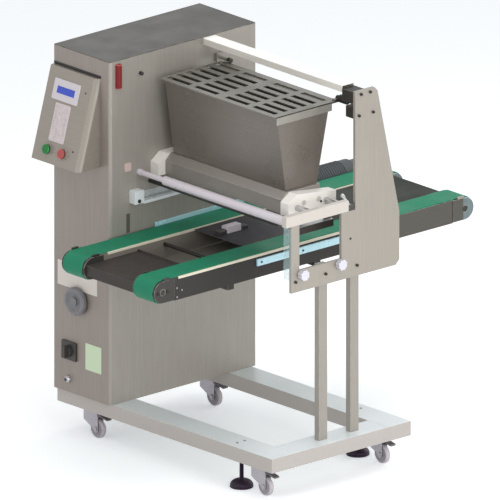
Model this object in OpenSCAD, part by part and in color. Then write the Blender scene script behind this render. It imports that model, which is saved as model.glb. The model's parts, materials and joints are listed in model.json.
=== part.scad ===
// Cookie depositor: a tall drive cabinet on a castor base, a hopper with two
// fluted feed rolls over a twin-belt tray conveyor, and an outer support plate.
// Lengths are millimetres. X runs from the cabinet to the outer plate, Y along
// the conveyor away from the operator, Z up from the floor.

/* [Cabinet] */
// Width of the cabinet, across the machine
cab_w = 300; // [270:1:340]
// Depth of the cabinet, along the conveyor
cab_d = 705; // [690:1:760]
// Height of the cabinet above the base frame
cab_h = 1300; // [1280:1:1400]
// Thickness of the cabinet's sheet metal
cab_sheet = 3; // [2:0.5:5]
// Radius of the cabinet's folded front edge
cab_bend_r = 12; // [8:1:30]

/* [Control box] */
// Width of the control box
box_w = 250; // [225:1:265]
// Height of the control box
box_h = 334; // [330:1:380]
// Depth of the control box at its lower edge
box_d = 95; // [85:1:125]
// Depth of the control box at its upper edge
box_lip = 15; // [4:1:20]
// Distance from the cabinet's top down to the control box
box_drop = 74; // [40:1:120]
// Radius of the control box's inner front edge
box_edge_r = 22; // [8:1:30]
// Diameter of a push button's cap
button_d = 36; // [28:1:40]
// Travel of a push button
button_travel = 6; // [3:0.5:7]
// Diameter of the adjusting handwheel
handwheel_d = 105; // [80:1:120]
// Width of the main switch's plate
switch_w = 75; // [60:1:90]

/* [Base frame] */
// Width of the base tubes
tube_w = 110; // [95:1:120]
// Height of the base tubes
tube_h = 54; // [45:1:70]
// Wall of the base tubes
tube_wall = 3; // [2:0.5:5]
// Distance from the cabinet's front and rear faces to the rails
rail_inset = 16; // [0:1:30]

/* [Castors and feet] */
// Height of a castor with its mounting plate
castor_h = 114; // [110:1:140]
// Diameter of a castor wheel
wheel_d = 70; // [60:1:76]
// Width of a castor wheel
wheel_w = 20; // [16:1:26]
// Distance from a castor's swivel axis to its axle
castor_trail = 20; // [10:1:28]
// Distance from the cabinet's outer side to the inner castors
castor_in = 140; // [120:1:200]
// Distance from the rails' outer end to the outer castors
castor_out = 112; // [90:1:120]
// Distance from the rails' outer end to the levelling feet
foot_in = 224; // [220:1:300]
// Diameter of a levelling foot's pad
foot_d = 86; // [60:1:90]
// Diameter of a levelling foot's stem
stem_d = 16; // [12:1:20]
// Lift of a levelling foot above the floor
foot_travel = 20; // [5:1:22]

/* [Outer support] */
// Thickness of the outer plate
plate_t = 12; // [10:1:20]
// Distance from the outer end block to the outer plate
plate_gap = 96; // [80:1:120]
// Distance from the outer plate's face to the rails' outer end
plate_inset = 34; // [33:1:50]
// Distance from the cabinet's front face to the outer plate's front edge
plate_y = 141; // [130:1:150]
// Width of the outer plate at its foot
plate_w = 523; // [480:1:560]
// Width of the outer plate at its top
plate_top_w = 108; // [100:1:140]
// Height of the outer plate's lower edge above the base frame
plate_lift = 592; // [570:1:610]
// Width of the outer plate's front leg
leg_w = 39; // [30:1:50]
// Width of the outer plate's window
window_w = 204; // [186:1:215]
// Distance from the window to the outer plate's neck
neck_in = 67; // [60:1:85]
// Height of the beam under the window
beam_h = 80; // [60:1:95]
// Width of an outer post, along the conveyor
post_w = 40; // [30:1:50]
// Thickness of an outer post, across the machine
post_t = 25; // [20:1:40]
// Width of the tie bar
tie_w = 58; // [40:1:70]
// Height of the tie bar
tie_h = 25; // [20:1:30]

/* [Depositor] */
// Length of the hopper
hopper_l = 602; // [560:1:610]
// Depth of the hopper's mouth
hopper_top_d = 254; // [240:1:270]
// Height of the hopper
hopper_h = 285; // [260:1:290]
// Thickness of the hopper's sheet
hopper_t = 3; // [2:0.5:5]
// Distance from the cabinet's side to the hopper
hopper_gap = 55; // [54:1:60]
// Diameter of a feed roll
roll_d = 68; // [60:1:70]
// Gap between the two feed rolls
roll_gap = 4; // [2:0.5:8]
// Diameter of a feed roll's shaft
roll_shaft_d = 20; // [16:1:24]
// Height of the feed rolls' axes above the base frame
roll_h = 876; // [870:1:900]
// Distance from the cabinet's front face to the middle between the rolls
roll_y = 335; // [325:1:345]
// Thickness of an end block
block_t = 43; // [30:1:44]
// Diameter of the front roller
roller_d = 34; // [24:1:36]
// Diameter of the front roller's journals
journal_d = 20; // [12:1:22]
// Number of slots along the lid
lid_slots_x = 4; // [2:1:6]
// Number of slots across the lid
lid_slots_y = 6; // [3:1:8]
// Number of nozzles
nozzle_count = 6; // [3:1:8]

/* [Conveyor] */
// Length of the conveyor over its belts
conv_l = 1553; // [1450:1:1700]
// Overhang of the conveyor in front of the cabinet
conv_front = 237; // [200:1:280]
// Height of the belts' upper face above the base frame
belt_h = 636; // [620:1:650]
// Width of a belt
belt_w = 100; // [80:1:102]
// Thickness of a belt
belt_t = 3; // [2:0.5:5]
// Distance from the cabinet's side to the inner belt's middle
belt_in = 60; // [60:1:75]
// Distance between the two belts' middles
belt_track = 379; // [350:1:380]
// Diameter of a belt pulley
pulley_d = 82; // [76:1:86]
// Diameter of the pulleys' shafts
shaft_d = 25; // [16:1:30]
// Thickness of a conveyor side panel
panel_t = 5; // [3:0.5:6]

/* [Hidden] */
$fn = 64;

// Clearances and the overrun of every cut
run_fit = 0.05;
free_gap = 0.3;
cut = 1;

// Places across the machine, from the cabinet to the rails' outer end
hopper_x0 = cab_w + hopper_gap;
hopper_x1 = hopper_x0 + hopper_l;
block_gap = hopper_gap - block_t;
block_in_x = cab_w;
block_out_x = hopper_x1 + block_gap;
plate_x0 = block_out_x + block_t + plate_gap;
plate_x1 = plate_x0 + plate_t;
base_l = plate_x1 + plate_inset;

// Main levels, above the floor
deck_z = castor_h + tube_h;
cab_top_z = deck_z + cab_h;
belt_z = deck_z + belt_h;
roll_z = deck_z + roll_h;

// Base rails and what stands on them
front_rail_y = rail_inset;
rear_rail_y = cab_d - rail_inset - tube_w;
rail_ys = [front_rail_y, rear_rail_y];
nut_d = 28;
nut_h = 10;
stem_reach = 28;
pad_rim_h = 6;
pad_neck_d = 24;
pad_neck_h = 30;
foot_x = base_l - foot_in;
post_wall = 2;
post_shy = 5;
post_reach = 126;
post_pitch = 152;
post_ys = [plate_y + leg_w + post_reach, plate_y + leg_w + post_reach + post_pitch];

// Castors
castor_plate_l = 104;
castor_plate_w = 76;
castor_plate_t = 6;
kingpin_d = 14;
crown_t = 8;
crown_front = 28;
crown_rear = 44;
crown_side_h = 48;
cheek_t = 3;
cheek_gap = 2;
axle_d = 10;
axle_head_d = 17;
axle_head_t = 4;
axle_boss_r = 13;
wheel_chamfer = 4;
crown_top_z = castor_h - castor_plate_t - free_gap;
cheek_y = wheel_w / 2 + cheek_gap;
castor_places = [for (x = [castor_in, base_l - castor_out]) for (y = rail_ys) [x, y + tube_w / 2]];

// Control box face, sloping out towards the operator at its lower edge
box_top_z = cab_top_z - box_drop;
box_slope = atan(box_d / box_h);
box_face = sqrt(box_d * box_d + box_h * box_h);
face_mid_share = 0.428;
face_x = box_w * face_mid_share;
display_w = 136;
display_h = 76;
display_t = 3;
display_s = 78;
lcd_w = 92;
lcd_h = 26;
lcd_t = 1;
keypad_w = 80;
keypad_h = 140;
keypad_t = 2;
keypad_s = 195;
button_pitch = 81;
button_shift = 8;
button_rise = 49;
button_s = box_face - button_rise;
button_stem_d = 16;
button_stem_l = 20;
button_cap_t = 6;
bezel_t = 3;
bezel_h = 6;

// Handwheel, main switch, gland and lamp on the cabinet
handwheel_x = 132;
handwheel_h = 360;
handwheel_z = deck_z + handwheel_h;
handwheel_t = 25;
handwheel_gap = 3;
handwheel_rim = 12;
handwheel_dish = 8;
handwheel_hub_d = 34;
handwheel_shaft_d = 16;
handwheel_shaft_l = 30;
collar_d = 30;
collar_t = 8;
switch_x = 87;
switch_lift = 160;
switch_z = deck_z + switch_lift;
switch_h = 68;
switch_t = 10;
switch_dial_d = 44;
switch_dial_t = 10;
switch_grip_w = 12;
switch_grip_t = 14;
spindle_d = 8;
spindle_l = 24;
gland_x = 80;
gland_lift = 51;
gland_z = deck_z + gland_lift;
gland_d = 29;
gland_l = 22;
gland_thread_d = 20;
gland_thread_l = 12;
gland_bore_d = 13;
lamp_y = 26;
lamp_w = 26;
lamp_h = 91;
lamp_d = 16;
lamp_drop = 105;
lamp_z = cab_top_z - lamp_drop;
slot_y = 80;
slot_w = 18;
slot_h = 74;
slot_lift = 635;
slot_z = deck_z + slot_lift;

// Depositor head between the cabinet and the outer plate
plate_z = deck_z + plate_lift;
plate_top_drop = 12;
plate_top_z = cab_top_z - plate_top_drop;
arm_drop = 32;
leg_z = roll_z - arm_drop;
leg_h = leg_z - plate_z;
block_front = 111;
block_in_front = 138;
block_rear = 120;
block_y0 = roll_y - block_front;
block_y1 = roll_y + block_rear;
block_drop = 38;
block_rise = 39;
block_chamfer = 42;
block_chamfer_h = 30;
block_fall = 23;
roll_pitch = roll_d + roll_gap;
roll_front_y = roll_y - roll_pitch / 2;
roll_rear_y = roll_y + roll_pitch / 2;
housing_wall = 8;
housing_front = 105;
housing_chamfer = 25;
housing_clear = 2;
housing_half = roll_pitch / 2 + roll_d / 2 + housing_clear;
housing_x0 = cab_w + block_t;
housing_x1 = block_out_x;
housing_web = 12;
housing_z0 = roll_z - block_drop;
housing_rise = 39;
housing_z1 = roll_z + housing_rise;
roll_side_gap = 2;
roll_x0 = housing_x0 + housing_web + roll_side_gap;
roll_x1 = housing_x1 - housing_web - roll_side_gap;
shaft_clear = 3;
flute_count = 24;
flute_r = 2.5;
gear_teeth = 20;
gear_t = 20;
gear_inset = 18;
gear_module = roll_pitch / gear_teeth;
gear_tip_share = 0.85;
gear_root_share = 1.1;
tooth_foot_share = 0.95;
tooth_tip_share = 0.36;
gear_tip_r = roll_pitch / 2 + gear_module * gear_tip_share;
gear_root_r = roll_pitch / 2 - gear_module * gear_root_share;
tooth_foot = gear_module * tooth_foot_share;
tooth_tip = gear_module * tooth_tip_share;
gear_x1 = cab_w - gear_inset;
gear_x0 = gear_x1 - gear_t;
gearbox_l = 100;
gearbox_w = 90;
gearbox_seat = 25;
gearbox_x1 = gear_x0 - gear_t;
motor_d = 96;
motor_l = 190;
shelf_drop = 62;
shelf_z1 = roll_z - shelf_drop;
shelf_w = 360;
panel_back_t = 3;
panel_back_w = 420;
panel_back_h = 420;
panel_module_d = 80;
panel_module_shares = [[0.08, 0.55, 0.24], [0.40, 0.55, 0.20], [0.08, 0.12, 0.76]];
module_h_share = 0.33;

// Hopper, lid and its hinge
hopper_z0 = housing_z1;
hopper_z1 = hopper_z0 + hopper_h;
hopper_bottom_d = 2 * housing_half + 2 * hopper_t;
hopper_front_slope = 42;
rim_w = 8;
rim_rear_w = 52;
rim_t = 3;
mouth_y0 = roll_y - hopper_bottom_d / 2 - hopper_front_slope;
mouth_y1 = mouth_y0 + hopper_top_d;
lid_t = 4;
hinge_set = 16;
lid_z = hopper_z1 + free_gap;
lid_y0 = mouth_y0 - rim_w;
lid_y1 = mouth_y1 + rim_rear_w - hinge_set;
lid_clear = 33;
lid_x0 = cab_w + lid_clear;
lid_margin_in = 11;
lid_margin_out = 30;
lid_margin_y = 22;
lid_bar_x = 27;
lid_bar_mid = 18;
lid_bar_y = 24;
hinge_pin_d = 12;
hinge_ear_r = 9;
hinge_ear_l = 16;
hinge_lug = 32;
hinge_lug_t = 12;
hinge_block_t = 40;
hinge_block_drop = 26;
hinge_collar_d = 30;
hinge_collar_l = 40;
hinge_y = mouth_y1 + rim_rear_w;
hinge_clear = 1;
hinge_z = hopper_z1 + hinge_ear_r + hinge_clear;
tie_y = plate_y + leg_w + window_w + neck_in;
tie_wall = 3;
tie_drop = 5;
tie_z1 = cab_top_z - tie_drop;
tie_bracket_l = 60;
tie_bracket_h = 28;
tie_bracket_shy = 10;

// Nozzles and the rails under the end blocks
nozzle_plate_t = 12;
nozzle_plate_d = 112;
nozzle_d = 34;
nozzle_tip_d = 22;
nozzle_bore_d = 16;
nozzle_h = 24;
nozzle_z1 = housing_z0 - nozzle_plate_t;
nozzle_pitch = (roll_x1 - roll_x0) / nozzle_count;
rail_t = 30;
rail_h = 28;
rail_drop = 58;
rail_z1 = housing_z0 - rail_drop;
inner_rail_y0 = 96;
inner_rail_y1 = 320;
rail_flange = 8;
rail_leg = 4;
rail_end_l = 24;
hanger_w = 26;
outer_rail_set = 50;

// Front roller, carrier arm and stand-offs
roller_y = plate_y;
roller_rise = 13;
roller_z = leg_z + roller_rise;
roller_in = 140;
roller_x0 = cab_w + roller_in;
roller_end_gap = 2;
flange_d = 24;
flange_t = 14;
arm_t = 24;
arm_h = 40;
arm_front = 24;
arm_x0 = plate_x1 - arm_t;
arm_shy = 32;
arm_y1 = tie_y - arm_shy;
journal_depth = 16;
standoff_d = 24;
standoff_edge = 50;

// Outer plate details
neck_y = tie_y;
slope_h = 200;
foot_corner = 18;
knob_d = 40;
knob_t = 22;
knob_gap = 2;
knob_lobes = 8;
knob_lobe_r = 5;
knob_stud_d = 12;
knob_in = 8;
knob_share = 0.8;
knob_pitch = 183;
knob_ys = [plate_y + leg_w + knob_in, plate_y + leg_w + knob_in + knob_pitch];
knob_z = plate_z + beam_h * knob_share;
bolt_d = 11;
bolt_t = 6;
bolt_socket_d = 6;
bolt_socket_t = 3;
guard_l = 38;
guard_t = 4;
guard_share = 0.778;
guard_h = leg_h * guard_share;
guard_drop = 8;
top_corner = 16;
bolt_low_share = 0.5;
tie_bolt_ys = [27, 71];
tie_bolt_drop = 14;
lug_bolt_ys = [17, 85];
lug_bolt_drop = 93;

// Conveyor levels and rows
pulley_r = pulley_d / 2;
belt_in_r = pulley_r + free_gap;
belt_out_r = belt_in_r + belt_t;
conv_z = belt_z - belt_out_r;
conv_y0 = -conv_front;
conv_y1 = conv_l - conv_front;
idler_y = conv_y0 + belt_out_r;
drive_y = conv_y1 - belt_out_r;
conv_mid_y = (conv_y0 + conv_y1) / 2;
belt_xs = [cab_w + belt_in, cab_w + belt_in + belt_track];
side_clear = 2;
panel_half = belt_w / 2 + side_clear;
panel_sink = 3;
panel_z0 = conv_z - belt_out_r;
panel_z1 = belt_z - panel_sink;
end_plate_proud = 3;
end_plate_t = panel_t + end_plate_proud;
end_plate_l = 98;
end_plate_sink = 3;
end_plate_r = belt_out_r - end_plate_sink;
bed_t = 3;
bed_gap = 6;
shaft_x0 = belt_xs[0] - panel_half - end_plate_t;
shaft_x1 = belt_xs[1] + panel_half + end_plate_t;
gap_x0 = belt_xs[0] + panel_half + panel_t;
gap_x1 = belt_xs[1] - panel_half - panel_t;
table_x0 = gap_x0 + end_plate_proud;
table_x1 = gap_x1 - end_plate_proud;
bar_d = 14;
bar_rise = 16;
bar_z = conv_z + bar_rise;
bar_reach = 225;
bar_pitch = 127;
bar_clear = 30;
bar_ys = [idler_y + bar_reach, idler_y + bar_reach + bar_pitch, conv_mid_y,
    drive_y - end_plate_l - bar_clear];
beam_w = 30;
beam_t = 18;
beam_front = 140;
beam_rear = 145;
beam_ys = [beam_front, cab_d - beam_rear];
table_t = 3;
table_sink = 4;
table_z1 = belt_z - table_sink;
table_reach = 495;
table_y0 = idler_y + table_reach;
table_end = 60;
apron_inset = 14;
apron_clear = 2;
apron_y1 = bar_ys[0] - bar_d / 2 - apron_clear;
apron_rise = 6;
apron_z1 = conv_z + shaft_d / 2 + apron_rise;
lip_h = 40;
pan_t = 3;
pan_drop = 36;
pan_z1 = conv_z - pan_drop;
sensor_reach = 580;
sensor_y = idler_y + sensor_reach;
sensor_off = 26;
sensor_x = (gap_x0 + gap_x1) / 2 - sensor_off;
sensor_l = 68;
sensor_w = 30;
sensor_h = 26;
sensor_end_l = 34;
sensor_end_h = 14;
drive_case_w = 100;
drive_case_h = 90;
drive_case_front = 75;
drive_case_rear = 40;
drive_case_wall = 20;
drive_motor_d = 100;
drive_motor_l = 240;
drive_motor_rise = 21;
slide_t = 8;
slide_h = 26;
slide_reach = 455;
slide_y0 = idler_y + slide_reach;
slide_l = 440;
slide_sink = 14;
guide_h = 18;
guide_reach = 406;
guide_y0 = idler_y + guide_reach;

// The machine stands centred over its own footprint
module machine() {
    translate([-base_l / 2, -conv_mid_y, 0]) children();
}

// A box from one corner to the opposite one
module box(a, b) {
    translate(a) cube(b - a);
}

// A round bar along X, Y or Z
module rod_x(x0, x1, y, z, r) {
    translate([x0, y, z]) rotate([0, 90, 0]) cylinder(r = r, h = x1 - x0);
}
module rod_y(y0, y1, x, z, r) {
    translate([x, y1, z]) rotate([90, 0, 0]) cylinder(r = r, h = y1 - y0);
}
module rod_z(z0, z1, x, y, r) {
    translate([x, y, z0]) cylinder(r = r, h = z1 - z0);
}

// A flat outline in Y and Z, drawn out along X
module along_x(x0, x1) {
    translate([x0, 0, 0]) rotate([90, 0, 90]) linear_extrude(x1 - x0) children();
}

// A flat outline in X and Z, drawn out along Y
module along_y(y0, y1) {
    translate([0, y1, 0]) rotate([90, 0, 0]) linear_extrude(y1 - y0) children();
}

// A rectangular tube along X, open at both ends
module tube_x(x0, x1, y0, y1, z0, z1, wall) {
    difference() {
        box([x0, y0, z0], [x1, y1, z1]);
        box([x0 - cut, y0 + wall, z0 + wall], [x1 + cut, y1 - wall, z1 - wall]);
    }
}

// Base frame: two rails along X and two cross tubes between them
module base_rail(y) {
    mid = y + tube_w / 2;
    difference() {
        union() {
            box([0, y, castor_h], [base_l, y + tube_w, deck_z]);
            translate([foot_x, mid, castor_h - nut_h]) cylinder(d = nut_d, h = nut_h, $fn = 6);
        }
        box([tube_wall, y + tube_wall, castor_h + tube_wall],
            [base_l - tube_wall, y + tube_w - tube_wall, deck_z - tube_wall]);
        rod_z(castor_h - nut_h - cut, castor_h + tube_wall + cut, foot_x, mid, stem_d / 2 + run_fit);
    }
}

module base_rails() {
    color([0.70, 0.69, 0.67]) machine() for (y = rail_ys) base_rail(y);
}

module base_crosses() {
    color([0.70, 0.69, 0.67]) machine() for (x = [0, base_l - tube_w]) difference() {
        box([x, front_rail_y + tube_w, castor_h], [x + tube_w, rear_rail_y, deck_z]);
        box([x + tube_wall, front_rail_y + tube_w - cut, castor_h + tube_wall],
            [x + tube_w - tube_wall, rear_rail_y + cut, deck_z - tube_wall]);
    }
}

// Two posts carry the outer plate on the outer cross tube
module outer_posts() {
    color([0.69, 0.66, 0.63]) machine() for (y = post_ys) difference() {
        box([plate_x0 - post_t, y - post_w / 2, deck_z],
            [plate_x0, y + post_w / 2, plate_z + beam_h - post_shy]);
        box([plate_x0 - post_t + post_wall, y - post_w / 2 + post_wall, deck_z - cut],
            [plate_x0 - post_wall, y + post_w / 2 - post_wall, plate_z + beam_h - post_shy - post_wall]);
    }
}

// Castors: a fixed plate with a kingpin, a swivelling fork and a wheel
module castor_plates() {
    color([0.62, 0.62, 0.63]) machine() for (p = castor_places) translate([p[0], p[1], 0]) {
        box([-castor_plate_l / 2, -castor_plate_w / 2, castor_h - castor_plate_t],
            [castor_plate_l / 2, castor_plate_w / 2, castor_h]);
        rod_z(crown_top_z - crown_t, castor_h - castor_plate_t, 0, 0, kingpin_d / 2);
    }
}

module cheek_outline() {
    polygon([[-crown_rear, crown_top_z], [crown_front, crown_top_z],
        [castor_trail + axle_boss_r, wheel_d / 2], [castor_trail - axle_boss_r, wheel_d / 2],
        [-crown_rear, crown_top_z - crown_side_h]]);
    translate([castor_trail, wheel_d / 2]) circle(r = axle_boss_r);
}

module castor_fork(place) {
    color([0.66, 0.66, 0.68]) machine() translate([place[0], place[1], 0]) {
        difference() {
            union() {
                box([-crown_rear, -cheek_y - cheek_t, crown_top_z - crown_t],
                    [crown_front, cheek_y + cheek_t, crown_top_z]);
                for (y = [-cheek_y - cheek_t, cheek_y]) along_y(y, y + cheek_t) cheek_outline();
            }
            rod_z(crown_top_z - crown_t - cut, crown_top_z + cut, 0, 0, kingpin_d / 2 + run_fit);
        }
        rod_y(-cheek_y - cheek_t, cheek_y + cheek_t, castor_trail, wheel_d / 2, axle_d / 2);
        for (y = [-cheek_y - cheek_t - axle_head_t, cheek_y + cheek_t])
            rod_y(y, y + axle_head_t, castor_trail, wheel_d / 2, axle_head_d / 2);
    }
}

module castor_fork_1() castor_fork(castor_places[0]);
module castor_fork_2() castor_fork(castor_places[1]);
module castor_fork_3() castor_fork(castor_places[2]);
module castor_fork_4() castor_fork(castor_places[3]);

module castor_wheel(place) {
    r = wheel_d / 2;
    bore = axle_d / 2 + run_fit;
    color([0.55, 0.55, 0.56]) machine()
        translate([place[0] + castor_trail, place[1] + wheel_w / 2, r]) rotate([90, 0, 0])
            rotate_extrude() polygon([[bore, 0], [r - wheel_chamfer, 0], [r, wheel_chamfer],
                [r, wheel_w - wheel_chamfer], [r - wheel_chamfer, wheel_w], [bore, wheel_w]]);
}

module castor_wheel_1() castor_wheel(castor_places[0]);
module castor_wheel_2() castor_wheel(castor_places[1]);
module castor_wheel_3() castor_wheel(castor_places[2]);
module castor_wheel_4() castor_wheel(castor_places[3]);

// Levelling feet, screwed through the rails' lower wall
module levelling_foot(y) {
    color([0.14, 0.11, 0.16]) machine() translate([foot_x, y + tube_w / 2, 0]) rotate_extrude()
        polygon([[0, 0], [foot_d / 2, 0], [foot_d / 2, pad_rim_h], [pad_neck_d / 2, pad_neck_h],
            [stem_d / 2, pad_neck_h], [stem_d / 2, castor_h + stem_reach], [0, castor_h + stem_reach]]);
}

module front_foot() levelling_foot(front_rail_y);
module rear_foot() levelling_foot(rear_rail_y);

// Cabinet outline from above, with its folded front edge beside the conveyor
module cabinet_outline(inset) {
    r = cab_bend_r - inset;
    translate([inset, inset]) square([cab_w - 2 * inset - r, cab_d - 2 * inset]);
    translate([inset, inset + r]) square([cab_w - 2 * inset, cab_d - 2 * inset - r]);
    translate([cab_w - inset - r, inset + r]) circle(r = r);
}

module wrap_outline() {
    difference() {
        cabinet_outline(0);
        cabinet_outline(cab_sheet);
        translate([-cut, cab_sheet]) square([cab_sheet + cut, cab_d]);
        translate([-cut, cab_d - cab_sheet]) square([cab_w - cab_sheet + cut, cab_sheet + cut]);
    }
}

module cabinet_wrap() {
    color([0.58, 0.56, 0.53]) machine() difference() {
        translate([0, 0, deck_z]) linear_extrude(cab_h - cab_sheet) wrap_outline();
        for (y = [roll_front_y, roll_rear_y])
            rod_x(cab_w - cab_sheet - cut, cab_w + cut, y, roll_z, roll_shaft_d / 2 + shaft_clear);
        rod_y(-cut, cab_sheet + cut, handwheel_x, handwheel_z, handwheel_shaft_d / 2 + run_fit);
        rod_y(-cut, cab_sheet + cut, switch_x, switch_z, spindle_d / 2 + shaft_clear);
        rod_y(-cut, cab_sheet + cut, gland_x, gland_z, gland_thread_d / 2);
        box([cab_w - cab_sheet - cut, slot_y, slot_z], [cab_w + cut, slot_y + slot_w, slot_z + slot_h]);
    }
}

module cabinet_covers() {
    color([0.55, 0.53, 0.50]) machine() {
        box([0, cab_sheet, deck_z], [cab_sheet, cab_d, cab_top_z - cab_sheet]);
        box([cab_sheet + free_gap, cab_d - cab_sheet, deck_z],
            [cab_w - cab_sheet, cab_d, cab_top_z - cab_sheet]);
    }
}

module cabinet_top() {
    color([0.45, 0.45, 0.43]) machine() translate([0, 0, cab_top_z - cab_sheet])
        linear_extrude(cab_sheet) cabinet_outline(0);
}

// Floor of the cabinet and the shelf that carries the roll drive
module cabinet_shelves() {
    color([0.55, 0.55, 0.55]) machine() {
        translate([0, 0, deck_z]) linear_extrude(cab_sheet) cabinet_outline(cab_sheet);
        box([cab_sheet, roll_y - shelf_w / 2, shelf_z1 - cab_sheet],
            [cab_w - cab_sheet, roll_y + shelf_w / 2, shelf_z1]);
    }
}

// Gearmotor inside the cabinet, in line with the front feed roll
module roll_gearmotor() {
    x0 = gearbox_x1 - gearbox_l;
    y0 = roll_front_y - gearbox_w / 2;
    z1 = roll_z + gearbox_w / 2;
    color([0.35, 0.40, 0.45]) machine() difference() {
        union() {
            box([x0, y0, shelf_z1], [gearbox_x1, y0 + gearbox_w, z1]);
            rod_z(z1, z1 + motor_l, x0 + gearbox_l / 2, roll_front_y, motor_d / 2);
        }
        rod_x(gearbox_x1 - gearbox_seat - cut, gearbox_x1 + cut, roll_front_y, roll_z,
            roll_shaft_d / 2 + run_fit);
    }
}

// Mounting plate with the drive controller, supply and terminal row
module electrics_panel() {
    y0 = (cab_d - panel_back_w) / 2;
    z0 = deck_z + cab_sheet + panel_back_h / 4;
    color([0.75, 0.76, 0.74]) machine() {
        box([cab_sheet, y0, z0], [cab_sheet + panel_back_t, y0 + panel_back_w, z0 + panel_back_h]);
        for (m = panel_module_shares)
            translate([cab_sheet + panel_back_t, y0 + m[0] * panel_back_w, z0 + m[1] * panel_back_h])
                cube([panel_module_d, m[2] * panel_back_w, module_h_share * panel_back_h]);
    }
}

// Control box: a sloping sheet-metal console, open towards the cabinet
module box_round(inset) {
    r = box_edge_r - inset;
    w = box_w - inset;
    deep = box_d + box_lip;
    translate([inset, -deep]) square([w - inset - r, deep - inset]);
    translate([inset, -deep]) square([w - inset, deep - inset - r]);
    translate([w - r, -inset - r]) circle(r = r);
}

module box_wedge(inset) {
    back = inset > 0 ? cut : 0;
    lower = box_top_z - box_h + inset;
    intersection() {
        along_x(inset, box_w - inset) polygon([[back, box_top_z - inset], [back, lower],
            [-box_d - box_lip, lower], [-box_d - box_lip, box_top_z - box_h], [-box_lip, box_top_z - inset]]);
        on_box_face(0, 0) translate([0, box_lip + cut, 0]) rotate([90, 0, 0])
            linear_extrude(box_face + box_lip + 2 * cut) box_round(inset);
    }
}

// Places a child on the sloping face, at x and a distance s down from its top
module on_box_face(x, s) {
    translate([x, -box_lip - s * sin(box_slope), box_top_z - s * cos(box_slope)])
        rotate([90 - box_slope, 0, 0]) children();
}

module button_places() {
    for (side = [-1, 1]) on_box_face(face_x + button_shift + side * button_pitch / 2, button_s) children();
}

module control_box() {
    color([0.57, 0.54, 0.51]) machine() difference() {
        union() {
            difference() {
                box_wedge(0);
                box_wedge(cab_sheet);
            }
            button_places() translate([0, 0, -cab_sheet / 2])
                cylinder(r = button_d / 2 + free_gap + bezel_t, h = bezel_h + cab_sheet / 2);
        }
        button_places() cylinder(r = button_d / 2 + free_gap, h = bezel_h + cut);
        button_places() translate([0, 0, -button_stem_l])
            cylinder(r = button_stem_d / 2 + run_fit, h = button_stem_l + cut);
    }
}

module display_panel() {
    color([0.86, 0.86, 0.90]) machine() on_box_face(face_x, display_s) {
        box([-display_w / 2, -display_h / 2, 0], [display_w / 2, display_h / 2, display_t]);
        box([-lcd_w / 2, -lcd_h / 2, display_t], [lcd_w / 2, lcd_h / 2, display_t + lcd_t]);
    }
}

module keypad() {
    color([0.80, 0.76, 0.77]) machine() on_box_face(face_x, keypad_s)
        box([-keypad_w / 2, -keypad_h / 2, 0], [keypad_w / 2, keypad_h / 2, keypad_t]);
}

module push_button(side) {
    rest = bezel_h + button_travel / 2;
    machine() on_box_face(face_x + button_shift + side * button_pitch / 2, button_s) {
        translate([0, 0, rest - button_stem_l]) cylinder(d = button_stem_d, h = button_stem_l);
        translate([0, 0, rest]) cylinder(d = button_d, h = button_cap_t);
    }
}

module green_button() {
    color([0.14, 0.59, 0.29]) push_button(-1);
}

module red_button() {
    color([0.84, 0.33, 0.33]) push_button(1);
}

// Handwheel on its shaft through the front sheet
module handwheel() {
    r = handwheel_d / 2;
    hub = handwheel_hub_d / 2;
    inner_y = -handwheel_gap - handwheel_t / 2;
    shaft = handwheel_shaft_d / 2;
    collar_y = cab_sheet + free_gap;
    color([0.36, 0.36, 0.37]) machine() {
        translate([handwheel_x, -handwheel_gap, handwheel_z]) rotate([90, 0, 0]) rotate_extrude()
            polygon([[0, 0], [r - handwheel_rim / 2, 0], [r, handwheel_rim / 2],
                [r, handwheel_t - handwheel_rim / 2], [r - handwheel_rim / 2, handwheel_t],
                [r - handwheel_rim, handwheel_t], [r - handwheel_rim * 2, handwheel_t - handwheel_dish],
                [hub, handwheel_t - handwheel_dish], [hub, handwheel_t], [0, handwheel_t]]);
        rod_y(inner_y, collar_y + handwheel_shaft_l, handwheel_x, handwheel_z, shaft);
        rod_y(collar_y, collar_y + collar_t, handwheel_x, handwheel_z, collar_d / 2);
    }
}

// Main switch: a plate and a turning grip
module switch_plate() {
    color([0.16, 0.15, 0.15]) machine() difference() {
        box([switch_x - switch_w / 2, -switch_t, switch_z - switch_h / 2],
            [switch_x + switch_w / 2, 0, switch_z + switch_h / 2]);
        rod_y(-switch_t - cut, cut, switch_x, switch_z, spindle_d / 2 + run_fit);
    }
}

module switch_knob() {
    y1 = -switch_t - free_gap;
    y0 = y1 - switch_dial_t;
    color([0.13, 0.13, 0.13]) machine() {
        rod_y(y0, y1, switch_x, switch_z, switch_dial_d / 2);
        box([switch_x - switch_grip_w / 2, y0 - switch_grip_t, switch_z - switch_dial_d / 2],
            [switch_x + switch_grip_w / 2, y0, switch_z + switch_dial_d / 2]);
        rod_y(y1, y1 + spindle_l, switch_x, switch_z, spindle_d / 2);
    }
}

module cable_gland() {
    color([0.72, 0.73, 0.74]) machine() difference() {
        union() {
            rod_y(-gland_l, 0, gland_x, gland_z, gland_d / 2);
            rod_y(0, cab_sheet + gland_thread_l, gland_x, gland_z, gland_thread_d / 2);
        }
        rod_y(-gland_l - cut, cab_sheet + gland_thread_l + cut, gland_x, gland_z, gland_bore_d / 2);
    }
}

module signal_lamp() {
    r = lamp_w / 2;
    color([0.68, 0.22, 0.22]) machine() translate([cab_w, lamp_y + r, lamp_z]) linear_extrude(lamp_h) {
        translate([0, -r]) square([lamp_d - r, lamp_w]);
        intersection() {
            translate([lamp_d - r, 0]) circle(r = r);
            translate([0, -r]) square([lamp_d, lamp_w]);
        }
    }
}

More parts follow.
